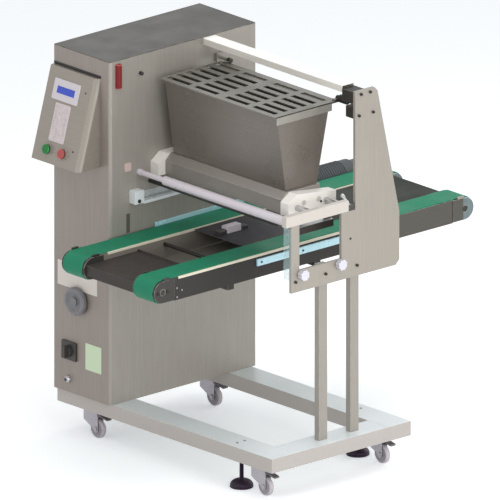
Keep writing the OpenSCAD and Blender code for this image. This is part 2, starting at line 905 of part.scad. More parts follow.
// Hopper: upright ends, sloping front and back, open above and below
module hopper_outline(inset) {
    half = hopper_bottom_d / 2 - inset;
    polygon([[roll_y - half, hopper_z0], [roll_y + half, hopper_z0],
        [mouth_y1 - inset, hopper_z1], [mouth_y0 + inset, hopper_z1]]);
}

module hopper() {
    color([0.45, 0.42, 0.39]) machine() difference() {
        union() {
            along_x(hopper_x0, hopper_x1) hopper_outline(0);
            box([hopper_x0, lid_y0, hopper_z1 - rim_t], [hopper_x1, hinge_y, hopper_z1]);
        }
        along_x(hopper_x0 + hopper_t, hopper_x1 - hopper_t) hopper_outline(hopper_t);
        box([hopper_x0 + hopper_t, roll_y - hopper_bottom_d / 2 + hopper_t, hopper_z0 - cut],
            [hopper_x1 - hopper_t, roll_y + hopper_bottom_d / 2 - hopper_t, hopper_z0 + cut]);
        box([hopper_x0 + hopper_t, mouth_y0 + hopper_t, hopper_z1 - cut],
            [hopper_x1 - hopper_t, mouth_y1 - hopper_t, hopper_z1 + cut]);
    }
}

// Slotted lid, hinged along its rear edge
module hopper_lid() {
    slot_l = (hopper_x1 - lid_x0 - lid_margin_in - lid_margin_out - lid_bar_mid
        - (lid_slots_x - 1) * lid_bar_x) / lid_slots_x;
    slot_d = (lid_y1 - lid_y0 - 2 * lid_margin_y - (lid_slots_y - 1) * lid_bar_y) / lid_slots_y;
    color([0.50, 0.50, 0.48]) machine() {
        difference() {
            box([lid_x0, lid_y0, lid_z], [hopper_x1, lid_y1, lid_z + lid_t]);
            for (i = [0 : lid_slots_x - 1]) for (j = [0 : lid_slots_y - 1])
                translate([lid_x0 + lid_margin_in + i * (slot_l + lid_bar_x)
                    + (2 * i >= lid_slots_x ? lid_bar_mid : 0),
                    lid_y0 + lid_margin_y + j * (slot_d + lid_bar_y), lid_z - cut])
                    cube([slot_l, slot_d, lid_t + 2 * cut]);
        }
        for (x = [hopper_x0, hopper_x1 - hinge_ear_l]) difference() {
            union() {
                rod_x(x, x + hinge_ear_l, hinge_y, hinge_z, hinge_ear_r);
                box([x, lid_y1 - hinge_ear_r, lid_z], [x + hinge_ear_l, hinge_y, hinge_z]);
            }
            rod_x(x - cut, x + hinge_ear_l + cut, hinge_y, hinge_z, hinge_pin_d / 2 + run_fit);
        }
    }
}

// Lid hinges with their pins, and the tie bar's end bracket
module inner_hinge() {
    box([cab_w, hinge_y - hinge_lug / 2, hinge_z - hinge_lug / 2],
        [cab_w + hinge_lug_t, hinge_y + hinge_lug / 2, hinge_z + hinge_lug / 2]);
    rod_x(cab_w, hopper_x0 + hinge_ear_l, hinge_y, hinge_z, hinge_pin_d / 2);
}

module outer_hinge() {
    collar_x = hopper_x1 + hinge_clear;
    box([plate_x0 - hinge_block_t, tie_y, hinge_z - hinge_block_drop],
        [plate_x0, hinge_y + hinge_lug / 2, hinge_z + hinge_lug / 2]);
    rod_x(hopper_x1 - hinge_ear_l, plate_x0, hinge_y, hinge_z, hinge_pin_d / 2);
    rod_x(collar_x, collar_x + hinge_collar_l, hinge_y, hinge_z, hinge_collar_d / 2);
}

module top_brackets() {
    color([0.25, 0.24, 0.24]) machine() {
        inner_hinge();
        outer_hinge();
        box([plate_x0 - tie_bracket_l, tie_y, tie_z1 - tie_h - tie_bracket_h],
            [plate_x0, tie_y + tie_w, tie_z1 - tie_bracket_shy]);
    }
}

module tie_bar() {
    color([0.85, 0.84, 0.82]) machine()
        tube_x(cab_w, plate_x0 - tie_bracket_l, tie_y, tie_y + tie_w, tie_z1 - tie_h, tie_z1, tie_wall);
}

// Channel around the feed rolls, under the hopper
module housing_outline() {
    y0 = roll_y - housing_front;
    y1 = roll_y + housing_half + housing_wall;
    polygon([[y0, housing_z0], [y1, housing_z0], [y1, housing_z1], [y0 + housing_chamfer, housing_z1],
        [y0, housing_z1 - housing_chamfer]]);
}

module roll_housing() {
    color([0.48, 0.46, 0.44]) machine() difference() {
        along_x(housing_x0, housing_x1) housing_outline();
        box([housing_x0 + housing_web, roll_y - housing_half, housing_z0 - cut],
            [housing_x1 - housing_web, roll_y + housing_half, housing_z1 + cut]);
        for (y = [roll_front_y, roll_rear_y])
            rod_x(housing_x0 - cut, housing_x1 + cut, y, roll_z, roll_shaft_d / 2 + shaft_clear);
    }
}

// Plastic end blocks with the feed rolls' bearings
module end_block_outline(front, fall) {
    y0 = roll_y - front;
    difference() {
        polygon([[y0, roll_z - block_drop], [block_y1, roll_z - block_drop],
            [block_y1, roll_z + block_rise - fall], [y0 + block_chamfer, roll_z + block_rise],
            [y0, roll_z + block_rise - block_chamfer_h]]);
        for (y = [roll_front_y, roll_rear_y]) translate([y, roll_z]) circle(r = roll_shaft_d / 2 + run_fit);
    }
}

module end_blocks() {
    color([0.88, 0.87, 0.83]) machine() {
        along_x(block_in_x, block_in_x + block_t) end_block_outline(block_in_front, 0);
        along_x(block_out_x, block_out_x + block_t) end_block_outline(block_front, block_fall);
    }
}

// Fluted feed roll with its shaft and gear
module roll_outline() {
    difference() {
        circle(d = roll_d);
        for (k = [0 : flute_count - 1]) rotate(k * 360 / flute_count)
            translate([roll_d / 2, 0]) circle(r = flute_r);
    }
}

module gear_outline(turn) {
    circle(r = gear_root_r);
    for (k = [0 : gear_teeth - 1]) rotate(turn + k * 360 / gear_teeth)
        polygon([[gear_root_r - gear_module, -tooth_foot], [gear_tip_r, -tooth_tip],
            [gear_tip_r, tooth_tip], [gear_root_r - gear_module, tooth_foot]]);
}

module feed_roll(y, turn, inner_end) {
    color([0.82, 0.82, 0.80]) machine() {
        rod_x(inner_end, block_out_x + block_t, y, roll_z, roll_shaft_d / 2);
        along_x(roll_x0, roll_x1) translate([y, roll_z]) roll_outline();
        along_x(gear_x0, gear_x1) translate([y, roll_z]) gear_outline(turn);
    }
}

module front_feed_roll() feed_roll(roll_front_y, 0, gearbox_x1 - gearbox_seat);
module rear_feed_roll() feed_roll(roll_rear_y, 180 / gear_teeth, gear_x0);

// Nozzle plate under the rolls and its row of nozzles
module nozzle_xs() {
    for (k = [0 : nozzle_count - 1])
        translate([roll_x0 + (k + 1 / 2) * nozzle_pitch, roll_y, 0]) children();
}

module nozzle_plate() {
    color([0.80, 0.80, 0.80]) machine() difference() {
        box([housing_x0, roll_y - housing_half - housing_wall, nozzle_z1],
            [housing_x1, roll_y + housing_half + housing_wall, housing_z0]);
        nozzle_xs() rod_z(nozzle_z1 - cut, housing_z0 + cut, 0, 0, nozzle_bore_d / 2);
    }
}

module nozzles() {
    color([0.75, 0.75, 0.76]) machine() nozzle_xs() translate([0, 0, nozzle_z1 - nozzle_h]) difference() {
        cylinder(d1 = nozzle_tip_d, d2 = nozzle_d, h = nozzle_h);
        translate([0, 0, -cut]) cylinder(d = nozzle_bore_d, h = nozzle_h + 2 * cut);
    }
}

// Bars along the conveyor under the two end blocks
module nozzle_rails() {
    color([0.70, 0.72, 0.72]) machine() {
        box([cab_w, inner_rail_y0, rail_z1 - rail_h], [cab_w + rail_leg, inner_rail_y1, rail_z1]);
        box([cab_w, inner_rail_y0, rail_z1 - rail_h],
            [cab_w + rail_t, inner_rail_y1, rail_z1 - rail_h + rail_flange]);
        box([cab_w, inner_rail_y0, rail_z1 - rail_h], [cab_w + rail_t, inner_rail_y0 + rail_end_l, rail_z1]);
        box([block_out_x, block_y0 + outer_rail_set, rail_z1 - rail_h],
            [block_out_x + rail_t, block_y1, rail_z1]);
        for (y = [block_y0 + outer_rail_set, block_y1 - hanger_w])
            box([block_out_x, y, rail_z1], [block_out_x + rail_t / 2, y + hanger_w, housing_z0]);
    }
}

// Roller across the front of the head
module front_roller() {
    color([0.86, 0.83, 0.86]) machine() {
        rod_x(cab_w + run_fit, roller_x0, roller_y, roller_z, journal_d / 2);
        rod_x(roller_x0, arm_x0 - roller_end_gap, roller_y, roller_z, roller_d / 2);
        rod_x(arm_x0 - roller_end_gap, arm_x0 + journal_depth, roller_y, roller_z, journal_d / 2);
    }
}

// Arm across the top of the window, and the roller's flange on the cabinet
module carrier_arm() {
    color([0.88, 0.86, 0.82]) machine() {
        difference() {
            box([arm_x0, plate_y - arm_front, leg_z], [plate_x1, arm_y1, leg_z + arm_h]);
            rod_x(arm_x0 - cut, arm_x0 + journal_depth + cut, roller_y, roller_z, journal_d / 2 + run_fit);
        }
        difference() {
            rod_x(cab_w, cab_w + flange_t, roller_y, roller_z, flange_d / 2);
            rod_x(cab_w - cut, cab_w + flange_t + cut, roller_y, roller_z, journal_d / 2 + run_fit);
        }
    }
}

// Stand-offs from the outer end block to the arm
module block_standoffs() {
    color([0.62, 0.62, 0.66]) machine() {
        rod_x(block_out_x + block_t, arm_x0, block_y0 + block_chamfer, leg_z + arm_h / 2, standoff_d / 2);
        rod_x(block_out_x + block_t, arm_x0, block_y1 - standoff_edge, leg_z + arm_h / 2, standoff_d / 2);
    }
}

// Outer plate: leg, window, beam and a tall tapering back
module plate_outline() {
    y1 = plate_y + plate_w;
    difference() {
        polygon([[plate_y, plate_z], [y1 - foot_corner, plate_z], [y1, plate_z + foot_corner],
            [y1, plate_z + slope_h], [neck_y + plate_top_w, plate_top_z - top_corner],
            [neck_y + plate_top_w - top_corner, plate_top_z], [neck_y, plate_top_z],
            [neck_y, leg_z], [plate_y, leg_z]]);
        translate([plate_y + leg_w, plate_z + beam_h]) square([window_w, leg_h]);
        for (y = knob_ys) translate([y, knob_z]) circle(r = knob_stud_d / 2 + run_fit);
    }
}

module outer_plate() {
    color([0.71, 0.68, 0.64]) machine() along_x(plate_x0, plate_x1) plate_outline();
}

bolt_low_z = plate_z + beam_h * bolt_low_share;
bolt_places = concat([[plate_y + leg_w / 2, bolt_low_z]],
    [for (y = post_ys) [y, bolt_low_z]],
    [for (y = tie_bolt_ys) [neck_y + y, plate_top_z - tie_bolt_drop]],
    [for (y = lug_bolt_ys) [neck_y + y, plate_top_z - lug_bolt_drop]]);

module plate_bolts() {
    color([0.20, 0.20, 0.20]) machine() for (p = bolt_places) difference() {
        rod_x(plate_x1, plate_x1 + bolt_t, p[0], p[1], bolt_d / 2);
        translate([plate_x1 + bolt_t - bolt_socket_t, p[0], p[1]]) rotate([0, 90, 0])
            cylinder(d = bolt_socket_d, h = bolt_socket_t + cut, $fn = 6);
    }
}

// Clear strip on the leg's front edge
module clear_guard() {
    color([0.75, 0.88, 0.90]) machine()
        box([plate_x1 - guard_l, plate_y - guard_t, leg_z - guard_drop - guard_h],
            [plate_x1, plate_y, leg_z - guard_drop]);
}

// Clamp knobs on the beam
module clamp_knob(y) {
    x0 = plate_x1 + knob_gap;
    color([0.78, 0.78, 0.82]) machine() {
        along_x(x0, x0 + knob_t) translate([y, knob_z]) difference() {
            circle(d = knob_d);
            for (k = [0 : knob_lobes - 1]) rotate(k * 360 / knob_lobes)
                translate([knob_d / 2 + knob_lobe_r / 2, 0]) circle(r = knob_lobe_r);
        }
        rod_x(plate_x0, x0, y, knob_z, knob_stud_d / 2);
    }
}

module front_clamp_knob() clamp_knob(knob_ys[0]);
module rear_clamp_knob() clamp_knob(knob_ys[1]);

// Conveyor: four side panels, with end plates that carry the pulley shafts
module conveyor_panels() {
    y0 = idler_y + end_plate_l - end_plate_r;
    y1 = drive_y - end_plate_l + end_plate_r;
    color([0.29, 0.28, 0.27]) machine() for (x = belt_xs) for (side = [-panel_half - panel_t, panel_half])
        box([x + side, y0, panel_z0], [x + side + panel_t, y1, panel_z1]);
}

module end_plate_outline(y, back) {
    difference() {
        union() {
            translate([y, conv_z]) circle(r = end_plate_r);
            translate([y - back, conv_z - end_plate_r])
                square([end_plate_l - end_plate_r, 2 * end_plate_r]);
        }
        translate([y, conv_z]) circle(r = shaft_d / 2 + run_fit);
    }
}

module end_plates() {
    color([0.52, 0.50, 0.48]) machine()
        for (x = belt_xs) for (s = [-panel_half - end_plate_t, panel_half]) {
            along_x(x + s, x + s + end_plate_t) end_plate_outline(idler_y, 0);
            along_x(x + s, x + s + end_plate_t) end_plate_outline(drive_y, end_plate_l - end_plate_r);
        }
}

// Belts run round the pulleys as closed loops
module belt_outline(r) {
    translate([idler_y, conv_z]) circle(r = r);
    translate([drive_y, conv_z]) circle(r = r);
    translate([idler_y, conv_z - r]) square([drive_y - idler_y, 2 * r]);
}

module belts() {
    color([0.14, 0.56, 0.42]) machine() for (x = belt_xs)
        along_x(x - belt_w / 2, x + belt_w / 2) difference() {
            belt_outline(belt_out_r);
            belt_outline(belt_in_r);
        }
}

module belt_beds() {
    z1 = conv_z + belt_in_r;
    color([0.60, 0.60, 0.60]) machine() for (x = belt_xs)
        box([x - panel_half, idler_y + pulley_r + bed_gap, z1 - bed_t],
            [x + panel_half, drive_y - pulley_r - bed_gap, z1]);
}

module pulley_shaft(y, x0) {
    color([0.66, 0.66, 0.67]) machine() {
        rod_x(x0, shaft_x1, y, conv_z, shaft_d / 2);
        for (x = belt_xs) rod_x(x - belt_w / 2, x + belt_w / 2, y, conv_z, pulley_r);
    }
}

module drive_shaft() pulley_shaft(drive_y, shaft_x0 - drive_case_w / 2);
module idler_shaft() pulley_shaft(idler_y, shaft_x0);

// Round bars between the panels, and beams under them from the cabinet's side
module cross_members() {
    color([0.40, 0.38, 0.38]) machine() {
        for (y = bar_ys) rod_x(gap_x0, gap_x1, y, bar_z, bar_d / 2);
        for (y = beam_ys) box([cab_w, y - beam_w / 2, panel_z0 - beam_t],
            [belt_xs[1] + panel_half + panel_t, y + beam_w / 2, panel_z0]);
    }
}

// Sheets between the belts: front apron, table and the pan under them
module centre_table() {
    y0 = conv_y0 + apron_inset;
    y1 = conv_y1 - table_end;
    color([0.30, 0.30, 0.32]) machine() {
        box([table_x0, y0, apron_z1 - table_t], [table_x1, apron_y1, apron_z1]);
        box([table_x0, y0, apron_z1 - lip_h], [table_x1, y0 + table_t, apron_z1]);
        box([table_x0, table_y0, table_z1 - table_t], [table_x1, y1, table_z1]);
        box([table_x0, idler_y, pan_z1 - pan_t], [table_x1, y1, pan_z1]);
    }
}

// Gearmotor of the belts, on the inner end plate and around the rear shaft
module conveyor_motor() {
    x0 = shaft_x0 - drive_case_w;
    y0 = drive_y - drive_case_front;
    half = drive_case_h / 2;
    motor_z = conv_z + drive_motor_rise;
    color([0.30, 0.32, 0.34]) machine() difference() {
        union() {
            box([x0, y0, conv_z - half], [shaft_x0, drive_y + drive_case_rear, conv_z + half]);
            rod_y(y0 - drive_motor_l, y0, x0 + drive_case_w / 2, motor_z, drive_motor_d / 2);
        }
        rod_x(x0 + drive_case_wall, shaft_x0 + cut, drive_y, conv_z, shaft_d / 2 + run_fit);
    }
}

// Tray sensor on the table, between two mounting ears
module tray_sensor() {
    color([0.86, 0.86, 0.90]) machine() {
        box([sensor_x - sensor_w / 2, sensor_y - sensor_l / 2, table_z1],
            [sensor_x + sensor_w / 2, sensor_y + sensor_l / 2, table_z1 + sensor_h]);
        for (y = [sensor_y - sensor_l / 2 - sensor_end_l, sensor_y + sensor_l / 2])
            box([sensor_x - sensor_w / 2, y, table_z1],
                [sensor_x + sensor_w / 2, y + sensor_end_l, table_z1 + sensor_end_h]);
    }
}

// Bright bars along the outer side panel and on the inner one
module guide_bars() {
    x0 = belt_xs[1] + panel_half + panel_t;
    x1 = belt_xs[0] - panel_half;
    z1 = panel_z1 - slide_sink;
    color([0.66, 0.77, 0.82]) machine() {
        box([x0, slide_y0, z1 - slide_h], [x0 + slide_t, slide_y0 + slide_l, z1]);
        box([x1 - panel_t, guide_y0, panel_z1], [x1, guide_y0 + slide_l, panel_z1 + guide_h]);
    }
}

base_rails();
base_crosses();
outer_posts();
castor_plates();
castor_fork_1();
castor_fork_2();
castor_fork_3();
castor_fork_4();
castor_wheel_1();
castor_wheel_2();
castor_wheel_3();
castor_wheel_4();
front_foot();
rear_foot();
cabinet_wrap();
cabinet_covers();
cabinet_top();
cabinet_shelves();
roll_gearmotor();
electrics_panel();
control_box();
display_panel();
keypad();
green_button();
red_button();
handwheel();
switch_plate();
switch_knob();
cable_gland();
signal_lamp();
hopper();
hopper_lid();
top_brackets();
tie_bar();
roll_housing();
end_blocks();
front_feed_roll();
rear_feed_roll();
nozzle_plate();
nozzles();
nozzle_rails();
front_roller();
carrier_arm();
block_standoffs();
outer_plate();
plate_bolts();
clear_guard();
front_clamp_knob();
rear_clamp_knob();
conveyor_panels();
end_plates();
belts();
belt_beds();
drive_shaft();
idler_shaft();
cross_members();
centre_table();
conveyor_motor();
tray_sensor();
guide_bars();
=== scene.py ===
import json
import math

import bmesh
import bpy
from mathutils import Matrix, Vector

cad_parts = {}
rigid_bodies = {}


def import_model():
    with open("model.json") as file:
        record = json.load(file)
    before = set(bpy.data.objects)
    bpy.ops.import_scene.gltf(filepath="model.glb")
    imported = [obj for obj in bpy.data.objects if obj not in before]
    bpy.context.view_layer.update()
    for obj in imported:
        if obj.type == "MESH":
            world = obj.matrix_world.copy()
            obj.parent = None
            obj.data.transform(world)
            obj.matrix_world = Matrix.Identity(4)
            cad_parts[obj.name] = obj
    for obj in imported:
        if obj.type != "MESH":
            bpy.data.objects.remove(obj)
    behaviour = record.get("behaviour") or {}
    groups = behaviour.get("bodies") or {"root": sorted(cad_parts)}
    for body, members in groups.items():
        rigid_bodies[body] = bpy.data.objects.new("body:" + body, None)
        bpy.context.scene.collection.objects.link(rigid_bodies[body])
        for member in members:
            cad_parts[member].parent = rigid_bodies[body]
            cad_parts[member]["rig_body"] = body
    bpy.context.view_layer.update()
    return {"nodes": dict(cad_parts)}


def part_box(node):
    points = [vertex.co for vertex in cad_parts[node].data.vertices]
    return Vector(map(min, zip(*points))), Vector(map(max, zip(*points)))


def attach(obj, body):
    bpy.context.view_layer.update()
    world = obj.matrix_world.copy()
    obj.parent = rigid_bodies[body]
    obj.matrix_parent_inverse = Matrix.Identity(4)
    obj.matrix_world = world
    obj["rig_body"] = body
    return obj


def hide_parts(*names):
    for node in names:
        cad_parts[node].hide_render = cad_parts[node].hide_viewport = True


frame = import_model()
nodes = frame["nodes"]
scene = bpy.context.scene
scene.view_settings.view_transform = "Standard"
mm = 0.001
print("stage: frame", len(nodes), "nodes")

# the machine is measured from the cabinet's outer side, its front and the floor
machine = {"midU": 577.0, "midV": 539.5}


def spot(u, v, z):
    return Vector((u - machine["midU"], v - machine["midV"], z)) * mm


def paint(r, g, b):
    def linear(c):
        c /= 255
        return c / 12.92 if c <= 0.04045 else ((c + 0.055) / 1.055) ** 2.4
    return (linear(r), linear(g), linear(b), 1.0)


# where a face looks: its own right and up, in the machine's frame
sides = {
    "front": ((1, 0, 0), (0, 0, 1)),
    "rear": ((-1, 0, 0), (0, 0, 1)),
    "right": ((0, 1, 0), (0, 0, 1)),
    "left": ((0, -1, 0), (0, 0, 1)),
    "top": ((1, 0, 0), (0, 1, 0)),
}


def onFrame(right, up, origin):
    x, y = Vector(right).normalized(), Vector(up).normalized()
    z = x.cross(y)
    turn = Matrix((x, y, z)).transposed().to_4x4()
    return Matrix.Translation(origin) @ turn @ Matrix.Scale(mm, 4)


def onSide(side, u, v, z):
    return onFrame(*sides[side], spot(u, v, z))


# camera at the photo's angle, with parallel sight lines
cameraSet = {"azimuth": 48, "elevation": 18, "span": 1.8, "aim": (-0.2094, 0.0785, 0.6407), "far": 8.0,
             "clip": 100}


def makeCamera(s):
    a, e = math.radians(s["azimuth"]), math.radians(s["elevation"])
    back = Vector((math.sin(a) * math.cos(e), -math.cos(a) * math.cos(e), math.sin(e)))
    data = bpy.data.cameras.new("viewCamera")
    data.type = "ORTHO"
    data.ortho_scale = s["span"]
    data.clip_end = s["clip"]
    cam = bpy.data.objects.new("viewCamera", data)
    cam.location = Vector(s["aim"]) + back * s["far"]
    cam.rotation_mode = "QUATERNION"
    cam.rotation_quaternion = (-back).to_track_quat("-Z", "Y")
    scene.collection.objects.link(cam)
    scene.camera = cam


makeCamera(cameraSet)
print("stage: camera")


# shader groups

def addNode(tree, kind, **settings):
    node = tree.nodes.new(kind)
    for key, value in settings.items():
        setattr(node, key, value)
    return node


def newGroup(name, ins, outs):
    group = bpy.data.node_groups.new(name, "ShaderNodeTree")
    for label, kind, value in ins:
        socket = group.interface.new_socket(label, in_out="INPUT", socket_type="NodeSocket" + kind)
        if value is not None:
            socket.default_value = value
    for label, kind in outs:
        group.interface.new_socket(label, in_out="OUTPUT", socket_type="NodeSocket" + kind)
    return group, addNode(group, "NodeGroupInput"), addNode(group, "NodeGroupOutput")


def maths(tree, what, a, b):
    node = addNode(tree, "ShaderNodeMath", operation=what)
    for socket, value in zip(node.inputs, (a, b)):
        if isinstance(value, (int, float)):
            socket.default_value = value
        else:
            tree.links.new(value, socket)
    return node.outputs[0]


def noise(tree, vector, scale, detail=3.0, rough=0.55):
    node = addNode(tree, "ShaderNodeTexNoise")
    node.inputs["Detail"].default_value = detail
    node.inputs["Roughness"].default_value = rough
    tree.links.new(vector, node.inputs["Vector"])
    if isinstance(scale, (int, float)):
        node.inputs["Scale"].default_value = scale
    else:
        tree.links.new(scale, node.inputs["Scale"])
    return node.outputs["Fac"]


def spread(tree, value, low, high):
    node = addNode(tree, "ShaderNodeMapRange", interpolation_type="SMOOTHSTEP")
    node.inputs["From Min"].default_value = low
    node.inputs["From Max"].default_value = high
    tree.links.new(value, node.inputs["Value"])
    return node.outputs["Result"]


def weighted(tree, a, shareA, b, shareB):
    return maths(tree, "ADD", maths(tree, "MULTIPLY", a, shareA), maths(tree, "MULTIPLY", b, shareB))


grainSet = {"scale": 200.0, "ratio": 3.7, "coarse": 0.65, "fine": 0.35}


def makeGrain(s):
    group, gin, gout = newGroup("grainLines", [("Vector", "Vector", None), ("Scale", "Float", s["scale"])],
                                [("Shade", "Float"), ("Height", "Float")])
    coarse = noise(group, gin.outputs["Vector"], gin.outputs["Scale"], 4.0)
    fine = noise(group, gin.outputs["Vector"], maths(group, "MULTIPLY", gin.outputs["Scale"], s["ratio"]), 3.0)
    group.links.new(weighted(group, coarse, s["coarse"], fine, s["fine"]), gout.inputs["Shade"])
    group.links.new(fine, gout.inputs["Height"])
    return group


smudgeSet = {"scale": 6.0, "span": (0.3, 0.7)}


def makeSmudge(s):
    group, gin, gout = newGroup("handSmudge", [("Vector", "Vector", None), ("Scale", "Float", s["scale"])],
                                [("Value", "Float")])
    cloud = noise(group, gin.outputs["Vector"], gin.outputs["Scale"], 4.0)
    group.links.new(spread(group, cloud, *s["span"]), gout.inputs["Value"])
    return group


edgeSet = {"scale": 40.0, "span": (0.35, 0.6)}


def makeEdgeRub(s):
    group, gin, gout = newGroup("edgeRub", [("Edge", "Float", 0.0), ("Vector", "Vector", None),
                                            ("Scale", "Float", s["scale"])], [("Mask", "Float")])
    broken = spread(group, noise(group, gin.outputs["Vector"], gin.outputs["Scale"], 4.0), *s["span"])
    group.links.new(maths(group, "MULTIPLY", gin.outputs["Edge"], broken), gout.inputs["Mask"])
    return group


# upward faces: flour dust, and on the base frame a painted pale-blue sheen standing in for reflected light
dustSet = {"scale": 9.0, "up": (0.6, 1.0), "span": (0.4, 0.75), "rough": 0.65}


def makeDustAndSheen(s):
    group, gin, gout = newGroup("flourDustAndSheen", [("Normal", "Vector", None), ("Vector", "Vector", None),
                                              ("Scale", "Float", s["scale"])], [("Mask", "Float")])
    split = addNode(group, "ShaderNodeSeparateXYZ")
    group.links.new(gin.outputs["Normal"], split.inputs[0])
    up = spread(group, split.outputs["Z"], *s["up"])
    cloud = noise(group, gin.outputs["Vector"], gin.outputs["Scale"], 5.0, s["rough"])
    group.links.new(maths(group, "MULTIPLY", up, spread(group, cloud, *s["span"])), gout.inputs["Mask"])
    return group


weaveSet = {"scale": 160.0, "wobble": 0.4, "soilScale": 11.0, "threads": 0.3, "soil": 0.7}


def makeWeave(s):
    group, gin, gout = newGroup("beltWeave", [("Vector", "Vector", None), ("Scale", "Float", s["scale"])],
                                [("Shade", "Float"), ("Height", "Float")])
    waves = []
    for axis in ("X", "Y"):
        wave = addNode(group, "ShaderNodeTexWave", bands_direction=axis)
        wave.inputs["Distortion"].default_value = s["wobble"]
        group.links.new(gin.outputs["Vector"], wave.inputs["Vector"])
        group.links.new(gin.outputs["Scale"], wave.inputs["Scale"])
        waves.append(wave.outputs["Fac"])
    height = maths(group, "MULTIPLY", *waves)
    soil = noise(group, gin.outputs["Vector"], s["soilScale"], 4.0)
    group.links.new(height, gout.inputs["Height"])
    group.links.new(weighted(group, height, s["threads"], soil, s["soil"]), gout.inputs["Shade"])
    return group


groups = {"grain": makeGrain(grainSet), "smudge": makeSmudge(smudgeSet), "edge": makeEdgeRub(edgeSet),
          "dust": makeDustAndSheen(dustSet), "weave": makeWeave(weaveSet)}
print("stage: shader groups", len(groups))

# finishes: colour, gloss, grain direction, rubbed edges, how far they vary, flour dust on upward faces, which on
# the base frame is a painted pale-blue sheen
plainLook = {"vary": 0.06, "roughVary": 0.08, "grainScale": 300.0, "bump": 0.04, "edge": None, "dust": None,
             "dustLevel": 0.12, "coat": 0.0, "weave": False, "specular": 0.5}
evenGrain, alongU, alongV, alongZ = (1, 1, 1), (0.03, 1, 1), (1, 0.03, 1), (1, 1, 0.03)


def lookOf(color, rough, metal=0.0, grain=evenGrain, **more):
    return {**plainLook, "color": color, "rough": rough, "metal": metal, "grain": grain, **more}


